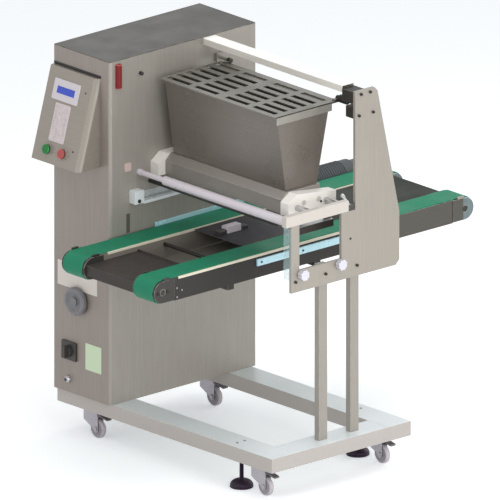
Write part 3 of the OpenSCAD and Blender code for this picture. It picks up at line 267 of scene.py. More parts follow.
finishes = {
    "cabinetSteel": lookOf((160, 155, 147), 0.42, 0.2, alongZ, edge=(190, 186, 178), grainScale=160.0),
    # painted shade: the cabinet's front face is a darker, pinker copy of the cabinet steel
    "cabinetFront": lookOf((152, 142, 135), 0.42, 0.2, alongZ, edge=(190, 184, 176), grainScale=160.0),
    # painted shade: the console's right side is a darker copy of the console steel
    "consoleSide": lookOf((140, 132, 123), 0.4, 0.2, alongV, edge=(184, 178, 169)),
    # painted light: the panel faces toward the pit are a much lighter copy of the dark panel steel, lifting
    # their shade
    "panelInner": lookOf((126, 120, 112), 0.5, grain=alongV, edge=(128, 122, 114)),
    # painted shade: the far part of the table is a darker copy of the table steel, against the light it gets
    "tableFarSteel": lookOf((48, 52, 48), 0.58, grain=alongV, edge=(96, 98, 94), specular=0.15),
    # painted light: the pan in the pit is a much lighter copy, lifting its shade
    "panSteel": lookOf((140, 135, 127), 0.5, grain=alongV, edge=(150, 144, 138)),
    "slotGrey": lookOf((92, 86, 78), 0.5, grain=alongZ),
    # painted shade: the cabinet top is a much darker copy of the steel, standing in for a dark reflection; its
    # flour dust is real
    "cabinetTopShade": lookOf((77, 76, 73), 0.45, 0.3, alongV, edge=(126, 124, 119), dust=(130, 128, 124)),
    "consoleSteel": lookOf((154, 147, 138), 0.38, 0.2, alongU, edge=(196, 190, 182)),
    # painted reflection: the frame's upward faces get a pale-blue sheen through the dust layer
    "framePaint": lookOf((184, 178, 173), 0.36, 0.2, edge=(205, 201, 197), grainScale=420.0, bump=0.05,
                         dust=(206, 216, 222), dustLevel=0.6),
    "tieBarPaint": lookOf((230, 226, 218), 0.36, 0.1, alongU, edge=(228, 226, 220)),
    # painted highlight: the tie bar's top is a near-white copy of its paint
    "tieTopWhite": lookOf((248, 248, 244), 0.3, grain=alongU, vary=0.02),
    "postPaint": lookOf((155, 150, 142), 0.42, 0.15, alongZ, edge=(176, 172, 165)),
    "plateSteel": lookOf((159, 153, 144), 0.4, 0.3, alongZ, edge=(184, 179, 171), grainScale=180.0,
                         vary=0.04),
    "hopperSteel": lookOf((117, 110, 103), 0.3, 0.35, alongU, edge=(180, 176, 168), roughVary=0.06,
                          grainScale=150.0),
    "housingSteel": lookOf((146, 141, 135), 0.36, 0.3, alongU, edge=(180, 176, 168)),
    "lidSteel": lookOf((130, 129, 122), 0.36, 0.5, alongU, edge=(160, 158, 150), dust=(176, 174, 166),
                       dustLevel=0.2),
    "darkSteel": lookOf((52, 49, 46), 0.42, 0.2, alongV, edge=(120, 115, 108), specular=0.3),
    "tableSteel": lookOf((62, 62, 66), 0.58, grain=alongU, edge=(112, 110, 112), specular=0.15,
                         dust=(100, 98, 98), dustLevel=0.15),
    # dark brown: the table's front apron, and painted shade on the side and hangers of the nozzle rails
    "apronSteel": lookOf((60, 55, 52), 0.48, grain=alongU, edge=(110, 104, 100), specular=0.25),
    "brightSteel": lookOf((190, 188, 190), 0.26, 0.85, alongV, edge=(224, 224, 224)),
    "castorZinc": lookOf((172, 168, 174), 0.34, 0.7, edge=(205, 204, 208), grainScale=90.0),
    "plateAluminium": lookOf((60, 58, 55), 0.42, 0.15, alongV, edge=(150, 147, 141), specular=0.3),
    # painted reflection: the farthest end plates are a blue-grey copy with dark vertical streaks standing in for
    # reflection and shade
    "endPlateBlue": lookOf((106, 120, 122), 0.34, 0.3, alongZ, edge=(190, 202, 206), vary=0.3,
                           grainScale=60.0),
    # painted light: a lighter brown copy of the dark panel steel for the far panels and the rear end plates
    "panelBrown": lookOf((80, 77, 70), 0.42, 0.2, alongV, edge=(128, 122, 114)),
    "railSteel": lookOf((192, 198, 200), 0.26, 0.3, alongV, edge=(230, 234, 234)),
    "rimSteel": lookOf((150, 147, 139), 0.34, 0.3, alongV, edge=(176, 173, 165)),
    "shaftEnd": lookOf((206, 202, 194), 0.35, 0.2, vary=0.05),
    "glandRubber": lookOf((150, 150, 152), 0.5, edge=(176, 176, 178), vary=0.05),
    "paleBlueBar": lookOf((196, 238, 250), 0.28, 0.2, alongV, edge=(206, 226, 232)),
    # painted light and shade: end blocks and arm are one white acetal; the blocks get a lighter copy, the arm a
    # darker copy
    "whiteAcetalLit": lookOf((246, 243, 236), 0.38, edge=(246, 244, 238), grainScale=500.0, vary=0.03),
    "armAcetal": lookOf((204, 198, 190), 0.38, edge=(222, 218, 211), grainScale=500.0, vary=0.03),
    "rollerWhite": lookOf((214, 207, 214), 0.3, grain=alongU, edge=(235, 230, 235), coat=0.2, vary=0.04),
    "stripCream": lookOf((226, 220, 198), 0.4, edge=(240, 236, 220), vary=0.03),
    "panelWhite": lookOf((216, 210, 216), 0.35, edge=(236, 232, 236), vary=0.03, grainScale=600.0),
    "keypadLilac": lookOf((216, 204, 206), 0.5, edge=(222, 214, 216), vary=0.05),
    "keyGrey": lookOf((208, 197, 200), 0.45, vary=0.18, grainScale=45.0),
    "blackPlastic": lookOf((36, 34, 35), 0.4, edge=(74, 72, 74), grainScale=700.0),
    "switchBlack": lookOf((60, 57, 55), 0.42, edge=(96, 92, 92), grainScale=700.0),
    "wheelGrey": lookOf((122, 120, 123), 0.36, edge=(132, 134, 140), grainScale=500.0),
    "footPlastic": lookOf((38, 22, 43), 0.45, edge=(92, 74, 98), specular=0.3, grainScale=500.0),
    "tyreGrey": lookOf((196, 190, 196), 0.55, vary=0.08, grainScale=220.0),
    "hubGrey": lookOf((156, 150, 156), 0.45, vary=0.05),
    "pedalZinc": lookOf((112, 107, 110), 0.4, 0.4, edge=(150, 146, 148)),
    # painted light: pale blue-white standing in for light and reflection on the base rail tops, and a lit copy
    # on the nozzle rail's end and lip
    "railTopPale": lookOf((234, 240, 243), 0.4, 0.1, edge=(232, 236, 238), grainScale=420.0),
    "greenCap": lookOf((28, 122, 58), 0.34, edge=(70, 176, 104), specular=0.35, vary=0.03),
    "redCap": lookOf((176, 70, 70), 0.3, edge=(230, 116, 112), coat=0.2, vary=0.03),
    "lampRed": lookOf((124, 32, 32), 0.36, edge=(190, 84, 82), specular=0.25, vary=0.08),
    "screwDark": lookOf((62, 58, 56), 0.35, 0.7, edge=(110, 106, 102)),
    "screwBright": lookOf((168, 166, 164), 0.28, 0.85),
    "beltGreen": lookOf((30, 132, 99), 0.55, edge=(60, 160, 124), specular=0.25, vary=0.09, weave=True,
                        bump=0.12),
    "knobPale": lookOf((214, 212, 222), 0.16, 0.25, edge=(240, 240, 246), coat=0.5),
    "motorPaint": lookOf((66, 72, 75), 0.45, edge=(124, 130, 136), grainScale=380.0, bump=0.1),
    "palePlate": lookOf((226, 218, 211), 0.42, vary=0.03),
    "mintPlate": lookOf((212, 232, 198), 0.42, edge=(214, 226, 204), vary=0.03),
    "pinkPad": lookOf((206, 184, 176), 0.5, vary=0.05),
}


def mixColor(tree, factor, a, b):
    node = addNode(tree, "ShaderNodeMix", data_type="RGBA")
    for socket, value in ((node.inputs[0], factor), (node.inputs[6], a), (node.inputs[7], b)):
        if isinstance(value, (int, float, tuple)):
            socket.default_value = value
        else:
            tree.links.new(value, socket)
    return node.outputs[2]


def placeGroup(tree, key, **values):
    node = addNode(tree, "ShaderNodeGroup", node_tree=groups[key])
    for label, value in values.items():
        if isinstance(value, (int, float)):
            node.inputs[label].default_value = value
        else:
            tree.links.new(value, node.inputs[label])
    return node


surfaceSet = {"shade": (0.3, 0.7), "leastRough": 0.03, "bump": 0.5, "coatRough": 0.12}


def makeFinish(name, look, s):
    mat = bpy.data.materials.new(name)
    mat.use_nodes = True
    tree = mat.node_tree
    shader = tree.nodes["Principled BSDF"]
    coords = addNode(tree, "ShaderNodeTexCoord")
    place = coords.outputs["Object"]
    lay = addNode(tree, "ShaderNodeMapping")
    lay.inputs["Scale"].default_value = look["grain"]
    tree.links.new(place, lay.inputs["Vector"])
    kind = "weave" if look["weave"] else "grain"
    grain = placeGroup(tree, kind, Vector=lay.outputs["Vector"], Scale=look["grainScale"])
    color = paint(*look["color"])
    dark = tuple(c * (1 - look["vary"]) for c in color[:3]) + (1.0,)
    light = tuple(min(1.0, c * (1 + look["vary"])) for c in color[:3]) + (1.0,)
    tint = mixColor(tree, spread(tree, grain.outputs["Shade"], *s["shade"]), dark, light)
    if look["edge"]:
        rim = addNode(tree, "ShaderNodeAttribute", attribute_name="edgeRub")
        rub = placeGroup(tree, "edge", Edge=rim.outputs["Fac"], Vector=place)
        tint = mixColor(tree, rub.outputs["Mask"], tint, paint(*look["edge"]))
    if look["dust"]:
        dust = placeGroup(tree, "dust", Normal=coords.outputs["Normal"], Vector=place)
        amount = maths(tree, "MULTIPLY", dust.outputs["Mask"], look["dustLevel"])
        tint = mixColor(tree, amount, tint, paint(*look["dust"]))
    tree.links.new(tint, shader.inputs["Base Color"])
    smudge = placeGroup(tree, "smudge", Vector=place)
    span = addNode(tree, "ShaderNodeMapRange")
    span.inputs["To Min"].default_value = max(s["leastRough"], look["rough"] - look["roughVary"])
    span.inputs["To Max"].default_value = look["rough"] + look["roughVary"]
    tree.links.new(smudge.outputs["Value"], span.inputs["Value"])
    tree.links.new(span.outputs["Result"], shader.inputs["Roughness"])
    bump = addNode(tree, "ShaderNodeBump")
    bump.inputs["Strength"].default_value = s["bump"]
    bump.inputs["Distance"].default_value = look["bump"] * mm
    tree.links.new(grain.outputs["Height"], bump.inputs["Height"])
    tree.links.new(bump.outputs["Normal"], shader.inputs["Normal"])
    shader.inputs["Metallic"].default_value = look["metal"]
    shader.inputs["Specular IOR Level"].default_value = look["specular"]
    shader.inputs["Coat Weight"].default_value = look["coat"]
    shader.inputs["Coat Roughness"].default_value = s["coatRough"]
    return mat


mats = {name: makeFinish(name, look, surfaceSet) for name, look in finishes.items()}
clearSet = {"color": (200, 224, 226), "smudge": 30.0, "alpha": (0.18, 0.32), "rough": 0.08}
screenSet = {"color": (54, 78, 192), "cells": 120.0, "gap": 0.06, "lit": 1.12, "dim": 0.86, "glow": 0.12,
             "rough": 0.12}


def makeClearSheet(s):
    mat = bpy.data.materials.new("clearSheet")
    mat.use_nodes = True
    tree = mat.node_tree
    shader = tree.nodes["Principled BSDF"]
    coords = addNode(tree, "ShaderNodeTexCoord")
    smudge = placeGroup(tree, "smudge", Vector=coords.outputs["Object"], Scale=s["smudge"])
    span = addNode(tree, "ShaderNodeMapRange")
    span.inputs["To Min"].default_value, span.inputs["To Max"].default_value = s["alpha"]
    tree.links.new(smudge.outputs["Value"], span.inputs["Value"])
    tree.links.new(span.outputs["Result"], shader.inputs["Alpha"])
    shader.inputs["Base Color"].default_value = paint(*s["color"])
    shader.inputs["Roughness"].default_value = s["rough"]
    return mat


def makeScreen(s):
    color = paint(*s["color"])
    mat = bpy.data.materials.new("screenBlue")
    mat.use_nodes = True
    tree = mat.node_tree
    shader = tree.nodes["Principled BSDF"]
    coords = addNode(tree, "ShaderNodeTexCoord")
    brick = addNode(tree, "ShaderNodeTexBrick", offset=0.0)
    brick.inputs["Scale"].default_value = s["cells"]
    brick.inputs["Mortar Size"].default_value = s["gap"]
    lit = tuple(min(1.0, c * s["lit"]) for c in color[:3]) + (1.0,)
    dim = tuple(c * s["dim"] for c in color[:3]) + (1.0,)
    brick.inputs["Color1"].default_value = lit
    brick.inputs["Color2"].default_value = color
    brick.inputs["Mortar"].default_value = dim
    tree.links.new(coords.outputs["Object"], brick.inputs["Vector"])
    tree.links.new(brick.outputs["Color"], shader.inputs["Base Color"])
    tree.links.new(brick.outputs["Color"], shader.inputs["Emission Color"])
    shader.inputs["Emission Strength"].default_value = s["glow"]
    shader.inputs["Roughness"].default_value = s["rough"]
    return mat


mats["clearSheet"] = makeClearSheet(clearSet)
mats["screenBlue"] = makeScreen(screenSet)
print("stage: finishes", len(mats))


# mesh helpers: sizes in millimetres until a piece gets its place

def rubLayer(bm):
    return bm.faces.layers.float.get("edgeRub") or bm.faces.layers.float.new("edgeRub")


def roundEdges(bm, edges, width, segments):
    made = bmesh.ops.bevel(bm, geom=edges, offset=width, offset_type="OFFSET", segments=segments,
                           profile=0.5, affect="EDGES", clamp_overlap=True)
    rim = rubLayer(bm)
    for face in made["faces"]:
        face[rim] = 1.0


def softenEdges(bm, width, segments, minAngle=32):
    rubLayer(bm)
    sharp = [e for e in bm.edges if e.is_manifold and e.calc_face_angle(0) > math.radians(minAngle)]
    if width > 0 and sharp:
        roundEdges(bm, sharp, width, segments)


def settle(bm, maxAngle=52):
    for face in bm.faces:
        face.smooth = True
    for edge in bm.edges:
        edge.smooth = edge.is_manifold and edge.calc_face_angle(0) < math.radians(maxAngle)


def addPiece(name, bm, finish, body, place=None, zones=()):
    settle(bm)
    mesh = bpy.data.meshes.new(name)
    for label in [finish] + [z[0] for z in zones]:
        mesh.materials.append(mats[label])
    for index, (label, inside) in enumerate(zones, 1):
        for face in bm.faces:
            if inside(face.calc_center_median()):
                face.material_index = index
    bm.to_mesh(mesh)
    bm.free()
    if place is not None:
        mesh.transform(place)
    obj = bpy.data.objects.new(name, mesh)
    scene.collection.objects.link(obj)
    even = obj.modifiers.new("evenNormals", "WEIGHTED_NORMAL")
    even.keep_sharp = True
    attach(obj, body)
    return obj


bodyOf = {node: obj["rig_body"] for node, obj in nodes.items()}
meshSet = {"weld": 2e-6, "flatAngle": 0.4, "volumeSlack": 0.06}


def readNode(node):
    bm = bmesh.new()
    bm.from_mesh(nodes[node].data)
    bmesh.ops.remove_doubles(bm, verts=bm.verts, dist=meshSet["weld"])
    bmesh.ops.dissolve_limit(bm, angle_limit=math.radians(meshSet["flatAngle"]), verts=bm.verts,
                             edges=bm.edges, use_dissolve_boundaries=False, delimit=set())
    return bm


def dressNode(node, finish, width=0.0, segments=2, zones=(), cuts=()):
    bm = readNode(node)
    before = bm.calc_volume(signed=True)
    softenEdges(bm, width * mm, segments)
    after = bm.calc_volume(signed=True)
    if width and (before <= 0 or abs(after / before - 1) > meshSet["volumeSlack"]):
        print("note: edges of", node, "stay sharp", round(before * 1e6, 2), round(after * 1e6, 2))
        bm.free()
        bm = readNode(node)
        softenEdges(bm, 0, 1)
    for y in cuts:
        bmesh.ops.bisect_plane(bm, geom=list(bm.verts) + list(bm.edges) + list(bm.faces),
                               plane_co=(0, y, 0), plane_no=(0, 1, 0))
    obj = addPiece(node + "Skin", bm, finish, bodyOf[node], zones=zones)
    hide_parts(node)
    return obj


def slab(w, h, t, corner=0.0, lip=0.0, cornerSteps=6):
    outline = []
    half = (w / 2 - corner, h / 2 - corner)
    for k, (sx, sy) in enumerate(((1, 1), (-1, 1), (-1, -1), (1, -1))):
        steps = cornerSteps if corner > 0 else 0
        for i in range(steps + 1):
            a = math.radians(90 * k + (90 * i / steps if steps else 45))
            outline.append((sx * half[0] + corner * math.cos(a), sy * half[1] + corner * math.sin(a)))
    return prism(outline, t, lip)


def prism(outline, t, lip=0.0):
    bm = bmesh.new()
    base = bm.faces.new([bm.verts.new((x, y, 0)) for x, y in outline])
    made = bmesh.ops.extrude_face_region(bm, geom=[base])
    top = [v for v in made["geom"] if isinstance(v, bmesh.types.BMVert)]
    bmesh.ops.translate(bm, verts=top, vec=(0, 0, t))
    bmesh.ops.recalc_face_normals(bm, faces=bm.faces)
    rubLayer(bm)
    if lip > 0:
        roundEdges(bm, [e for e in bm.edges if all(v.co.z > t * 0.5 for v in e.verts)], lip, 2)
    return bm


def ringAt(bm, r, z, steps):
    turns = [2 * math.pi * k / steps for k in range(steps)]
    return [bm.verts.new((r * math.cos(a), r * math.sin(a), z)) for a in turns]


def skinRings(bm, rings, steps):
    for a, b in zip(rings, rings[1:]):
        for k in range(steps):
            n = (k + 1) % steps
            if len(a) == 1:
                bm.faces.new((a[0], b[n], b[k]))
            elif len(b) == 1:
                bm.faces.new((a[k], a[n], b[0]))
            else:
                bm.faces.new((a[k], a[n], b[n], b[k]))
    bmesh.ops.recalc_face_normals(bm, faces=bm.faces)


def lathe(profile, steps=48):
    bm = bmesh.new()
    rubLayer(bm)
    rings = [ringAt(bm, r, z, steps) if r > 0 else [bm.verts.new((0, 0, z))] for r, z in profile]
    skinRings(bm, rings, steps)
    return bm


def closeLathe(profile, steps=48):
    return lathe(list(profile) + [profile[0]], steps)


# geometry node trees for what repeats

def newTree(name, sockets):
    tree = bpy.data.node_groups.new(name, "GeometryNodeTree")
    for label, kind in sockets:
        tree.interface.new_socket(label, in_out="INPUT", socket_type="NodeSocket" + kind)
    tree.interface.new_socket("Geometry", in_out="OUTPUT", socket_type="NodeSocketGeometry")
    return tree, addNode(tree, "NodeGroupInput"), addNode(tree, "NodeGroupOutput")


def endTree(tree, gin, gout, geometry):
    real = addNode(tree, "GeometryNodeRealizeInstances")
    paintOn = addNode(tree, "GeometryNodeSetMaterial")
    tree.links.new(geometry, real.inputs["Geometry"])
    tree.links.new(real.outputs["Geometry"], paintOn.inputs["Geometry"])
    tree.links.new(gin.outputs["Finish"], paintOn.inputs["Material"])
    tree.links.new(paintOn.outputs["Geometry"], gout.inputs["Geometry"])
    return tree


def fastenerTree():
    tree, gin, gout = newTree("fastenerField", [("Geometry", "Geometry"), ("Head", "Object"), ("Size", "Float"),
                                                ("Finish", "Material")])
    head = addNode(tree, "GeometryNodeObjectInfo")
    aim = addNode(tree, "GeometryNodeInputNamedAttribute", data_type="FLOAT_VECTOR")
    aim.inputs["Name"].default_value = "aim"
    size = addNode(tree, "GeometryNodeInputNamedAttribute", data_type="FLOAT")
    size.inputs["Name"].default_value = "size"
    turn = addNode(tree, "FunctionNodeAlignRotationToVector", axis="Z")
    scale = addNode(tree, "ShaderNodeMath", operation="MULTIPLY")
    put = addNode(tree, "GeometryNodeInstanceOnPoints")
    tree.links.new(gin.outputs["Head"], head.inputs["Object"])
    tree.links.new(aim.outputs["Attribute"], turn.inputs["Vector"])
    tree.links.new(gin.outputs["Size"], scale.inputs[0])
    tree.links.new(size.outputs["Attribute"], scale.inputs[1])
    tree.links.new(gin.outputs["Geometry"], put.inputs["Points"])
    tree.links.new(head.outputs["Geometry"], put.inputs["Instance"])
    tree.links.new(turn.outputs["Rotation"], put.inputs["Rotation"])
    tree.links.new(scale.outputs[0], put.inputs["Scale"])
    return endTree(tree, gin, gout, put.outputs["Instances"])


def ribTree():
    tree, gin, gout = newTree("ribStack", [("Count", "Int"), ("Pitch", "Float"), ("Radius", "Float"),
                                           ("Thickness", "Float"), ("Finish", "Material")])
    step = addNode(tree, "ShaderNodeCombineXYZ")
    line = addNode(tree, "GeometryNodeMeshLine")
    disc = addNode(tree, "GeometryNodeMeshCylinder")
    disc.inputs["Vertices"].default_value = 40
    put = addNode(tree, "GeometryNodeInstanceOnPoints")
    tree.links.new(gin.outputs["Pitch"], step.inputs["Z"])
    tree.links.new(gin.outputs["Count"], line.inputs["Count"])
    tree.links.new(step.outputs[0], line.inputs["Offset"])
    tree.links.new(gin.outputs["Radius"], disc.inputs["Radius"])
    tree.links.new(gin.outputs["Thickness"], disc.inputs["Depth"])
    tree.links.new(line.outputs["Mesh"], put.inputs["Points"])
    tree.links.new(disc.outputs["Mesh"], put.inputs["Instance"])
    return endTree(tree, gin, gout, put.outputs["Instances"])


def keyTree():
    tree, gin, gout = newTree("keyGrid", [("Columns", "Int"), ("Rows", "Int"), ("Width", "Float"),
                                          ("Height", "Float"), ("Key", "Object"), ("Finish", "Material")])
    grid = addNode(tree, "GeometryNodeMeshGrid")
    key = addNode(tree, "GeometryNodeObjectInfo")
    put = addNode(tree, "GeometryNodeInstanceOnPoints")
    for label, socket in (("Columns", "Vertices X"), ("Rows", "Vertices Y"), ("Width", "Size X"),
                          ("Height", "Size Y")):
        tree.links.new(gin.outputs[label], grid.inputs[socket])
    tree.links.new(gin.outputs["Key"], key.inputs["Object"])
    tree.links.new(grid.outputs["Mesh"], put.inputs["Points"])
    tree.links.new(key.outputs["Geometry"], put.inputs["Instance"])
    return endTree(tree, gin, gout, put.outputs["Instances"])


trees = {"fastener": fastenerTree(), "rib": ribTree(), "key": keyTree()}


def runTree(name, key, values, mesh=None, place=None):
    tree = trees[key]
    obj = bpy.data.objects.new(name, mesh or bpy.data.meshes.new(name))
    mod = obj.modifiers.new(name, "NODES")
    mod.node_group = tree
    for item in tree.interface.items_tree:
        if item.in_out == "INPUT" and item.name in values:
            mod[item.identifier] = values[item.name]
    scene.collection.objects.link(obj)
    depth = bpy.context.evaluated_depsgraph_get()
    final = bpy.data.meshes.new_from_object(obj.evaluated_get(depth))
    obj.modifiers.clear()
    obj.data = final
    if place is not None:
        final.transform(place)
    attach(obj, "frame")


def template(name, bm, smoothAngle=40):
    settle(bm, smoothAngle)
    mesh = bpy.data.meshes.new(name)
    bm.to_mesh(mesh)
    bm.free()
    obj = bpy.data.objects.new(name, mesh)
    scene.collection.objects.link(obj)
    return obj


headSet = {"steps": 12, "height": 0.6, "dip": 0.35, "shoulder": 0.8, "top": 0.86, "key": 0.56}


def socketHead(s):
    bm = bmesh.new()
    steps, height, key = s["steps"], s["height"], s["key"]

    def hexRing(z):
        out = []
        for k in range(steps):
            a = 2 * math.pi * k / steps
            flat = math.cos(math.pi / 6) / math.cos((a % (math.pi / 3)) - math.pi / 6)
            out.append(bm.verts.new((key * flat * math.cos(a), key * flat * math.sin(a), z)))
        return out

    rows = [ringAt(bm, 1, 0, steps), ringAt(bm, 1, height * s["shoulder"], steps),
            ringAt(bm, s["top"], height, steps), hexRing(height), hexRing(height - s["dip"])]
    bm.faces.new(list(reversed(rows[0])))
    bm.faces.new(rows[-1])
    skinRings(bm, rows, steps)
    return bm


keySet = {"w": 13, "h": 15, "t": 1.0, "corner": 2.0, "lip": 0.5, "steps": 3}


def roundedKey(s):
    bm = slab(s["w"], s["h"], s["t"], s["corner"], s["lip"], s["steps"])
    bmesh.ops.scale(bm, vec=(mm, mm, mm), verts=bm.verts)
    return bm


heads = {"socket": template("socketHead", socketHead(headSet)),
         "key": template("keyCap", roundedKey(keySet))}


def fasteners(name, finish, places):
    mesh = bpy.data.meshes.new(name)
    mesh.from_pydata([spot(u, v, z) for side, u, v, z, r in places], [], [])
    mesh.attributes.new("aim", "FLOAT_VECTOR", "POINT")
    mesh.attributes.new("size", "FLOAT", "POINT")
    for k, (side, u, v, z, r) in enumerate(places):
        x, y = sides[side]
        mesh.attributes["aim"].data[k].vector = Vector(x).cross(Vector(y))
        mesh.attributes["size"].data[k].value = r
    runTree(name, "fastener", {"Head": heads["socket"], "Size": mm, "Finish": mats[finish]}, mesh)


print("stage: helpers")

# dressed CAD pieces: finish, edge rounding in mm, steps
dressPlan = {
    "outer_posts": ("postPaint", 2.0, 3),
    "castor_plates": ("castorZinc", 1.0, 2),
    "cabinet_covers": ("cabinetSteel", 0.8, 2),
    # painted shade: the cabinet top uses the darker steel copy
    "cabinet_top": ("cabinetTopShade", 0.8, 2), "cabinet_shelves": ("cabinetSteel", 0.5, 1),
    "roll_gearmotor": ("motorPaint", 3.0, 2), "electrics_panel": ("panelWhite", 2.0, 2),
    "green_button": ("greenCap", 2.2, 4), "red_button": ("redCap", 2.2, 4),
    "handwheel": ("wheelGrey", 1.5, 3), "switch_plate": ("switchBlack", 3.0, 3),
    "switch_knob": ("switchBlack", 2.0, 3), "signal_lamp": ("lampRed", 3.0, 4),
    "hopper": ("hopperSteel", 0.7, 2),
    "roll_housing": ("housingSteel", 0.8, 2),
    # painted light: the end blocks use the lighter acetal copy
    "end_blocks": ("whiteAcetalLit", 2.5, 3), "nozzle_plate": ("darkSteel", 1.0, 2),
    "nozzles": ("brightSteel", 0.8, 2),
    "front_roller": ("rollerWhite", 1.2, 3),
    "block_standoffs": ("brightSteel", 1.5, 2), "outer_plate": ("plateSteel", 1.4, 2),
    "plate_bolts": ("screwDark", 0.8, 2), "clear_guard": ("clearSheet", 0.4, 1),
    "front_clamp_knob": ("knobPale", 2.2, 3), "rear_clamp_knob": ("knobPale", 2.2, 3),
    "belts": ("beltGreen", 0.6, 2), "belt_beds": ("brightSteel", 0.4, 1),
    "drive_shaft": ("plateAluminium", 1.0, 2), "idler_shaft": ("plateAluminium", 1.0, 2),
    "cross_members": ("darkSteel", 1.0, 2),
    "conveyor_motor": ("motorPaint", 3.0, 3), "guide_bars": ("paleBlueBar", 1.0, 2),
}
for node, (finish, width, segments) in dressPlan.items():
    dressNode(node, finish, width, segments)

# pieces with more finishes: where the next one starts, in mm along the axis that ends the name
zoneSet = {"tieTopZ": 1462.5, "midV": 539.5, "rearV": 1262.0, "apronV": -40.0, "deckZ": 167.6, "earV": 508.5,
           "railSideU": 998.4, "shaftU": 1011.0, "hangerZ": 948.4, "frontV": 1.0, "consoleU": 249.0,
           "farV": 930.0, "panZ": 740.0, "wallU": 342.0, "bearingU": 400.0, "tableV": 760.0}
pitFaces = [spot(u, 0, 0).x for u in (417, 682)]


def zoneEdge(key):
    return "UVZ".index(key[-1]), spot(*[zoneSet[key]] * 3)["UVZ".index(key[-1])]


def past(key):
    axis, edge = zoneEdge(key)
    return lambda p: p[axis] > edge


def before(key):
    axis, edge = zoneEdge(key)
    return lambda p: p[axis] < edge


def cutAt(key):
    return (zoneEdge(key)[1],)


def onPit(p):
    return min(abs(p.x - x) for x in pitFaces) < mm


def onRail(p):
    return past("railSideU")(p) or past("hangerZ")(p)


# painted light: the tops of the base rails and crosses get the pale lit finish
deckZone = (("railTopPale", past("deckZ")),)
shaftZone = (("shaftEnd", past("shaftU")),)
zonePlan = {
    "top_brackets": ("darkSteel", 1.0, 2, (("rimSteel", before("wallU")),)),
    # painted shade: the carrier arm uses the darker acetal copy
    "carrier_arm": ("armAcetal", 2.5, 3, (("rollerWhite", before("bearingU")),)),
    # painted shade: the wrap's front face gets the darker copy of its steel
    "cabinet_wrap": ("cabinetSteel", 0.5, 2, (("cabinetFront", before("frontV")),)),
    # painted shade: the console's side face gets the darker copy
    "control_box": ("consoleSteel", 1.0, 2, (("consoleSide", past("consoleU")),)),
    # painted light: far part of the panels lighter brown, pit faces lightened
    "conveyor_panels": ("darkSteel", 0.6, 2, (("panelBrown", past("farV")), ("panelInner", onPit)),
                        cutAt("farV")),
    "base_rails": ("framePaint", 3.0, 3, deckZone), "base_crosses": ("framePaint", 3.0, 3, deckZone),
    "hopper_lid": ("lidSteel", 0.5, 2, (("darkSteel", past("earV")),)),
    "front_feed_roll": ("plateAluminium", 0.4, 1, shaftZone),
    "rear_feed_roll": ("plateAluminium", 0.4, 1, shaftZone),
    # painted shade: the nozzle rails' side and hangers get the dark brown
    "nozzle_rails": ("railSteel", 1.2, 2, (("apronSteel", onRail),)),
    # painted highlight on the tie bar's top faces
    "tie_bar": ("tieBarPaint", 2.0, 3, (("tieTopWhite", past("tieTopZ")),)),
    # painted light and reflection: rear end plates lighter brown, the farthest ones blue-grey
    "end_plates": ("plateAluminium", 1.2, 2, (("panelBrown", past("midV")), ("endPlateBlue", past("rearV"))),
                   cutAt("rearV")),
    # painted shade on the far table, painted light on the pan in the pit
    "centre_table": ("tableSteel", 0.6, 2, (("tableFarSteel", past("tableV")), ("panSteel", before("panZ")),
                                            ("apronSteel", before("apronV"))), cutAt("tableV")),
}
for node, row in zonePlan.items():
    dressNode(node, *row)
print("stage: dressed", len(dressPlan) + len(zonePlan))

# castors: pressed forks, wheels with a tyre round a hub
castorSet = {"places": ((140, 71), (140, 634), (1042, 71), (1042, 634)), "trail": 20, "axleZ": 35, "hubR": 25,
             "pedal": {"u": 53, "z": 83, "size": (54, 26, 5, 5, 1.2), "tilt": 12}}


def makeCastor(k, u, v, s):
    axle = spot(u + s["trail"], v, s["axleZ"])

    def inHub(p):
        return math.hypot(p.x - axle.x, p.z - axle.z) < s["hubR"] * mm

    dressNode("castor_fork_%d" % k, "castorZinc", 1.0, 2)
    dressNode("castor_wheel_%d" % k, "tyreGrey", 1.5, 3, zones=(("hubGrey", inHub),))
    p = s["pedal"]
    place = onSide("top", u + p["u"], v, p["z"]) @ Matrix.Rotation(math.radians(p["tilt"]), 4, "Y")
    addPiece("castorPedal%d" % k, slab(*p["size"]), "pedalZinc", "fork_%d" % k, place)


for k, (u, v) in enumerate(castorSet["places"], 1):
    makeCastor(k, u, v, castorSet)

# levelling feet: a domed pad and a threaded stem
footSet = {"u": 930, "vs": {"front": 71, "rear": 634}, "padR": 43, "rim": 6, "neckR": 12, "neckH": 30,
           "stemR": 8, "top": 142, "pitch": 2.5, "depth": 0.9, "under": 1.5, "over": 2, "domeSteps": 9, "tip": 1}


def makeFoot(side, s):
    pad, rim, over, stem = s["padR"], s["rim"], s["over"], s["stemR"]
    profile = [(0, 0), (pad - s["under"], 0), (pad, s["under"]), (pad, rim - over), (pad - over, rim)]
    for i in range(1, s["domeSteps"] + 1):
        f = i / s["domeSteps"]
        profile.append((s["neckR"] + (pad - s["neckR"]) * math.sqrt(1 - f ** 2), rim + (s["neckH"] - rim) * f))
    profile += [(stem, s["neckH"])]
    z = s["neckH"] + over
    while z + s["pitch"] < s["top"] - over:
        profile += [(stem, z), (stem - s["depth"], z + s["pitch"] / 2)]
        z += s["pitch"]
    profile += [(stem, z), (stem - s["tip"], s["top"]), (0, s["top"])]
    foot = addPiece(side + "FootTurned", lathe(profile, 40), "footPlastic", side + "_pad",
                    onSide("top", s["u"], s["vs"][side], 0))
    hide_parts(side + "_foot")


for side in footSet["vs"]:
    makeFoot(side, footSet)
print("stage: castors and feet")

# console face: s down from its top edge, h out of the face
consoleSet = {"topZ": 1394, "lip": 15, "lean": 95, "drop": 334, "width": 250, "middle": 0.428}
consoleSlope = math.atan(consoleSet["lean"] / consoleSet["drop"])
consoleUp = (0, math.sin(consoleSlope), math.cos(consoleSlope))
sides["console"] = ((1, 0, 0), consoleUp)


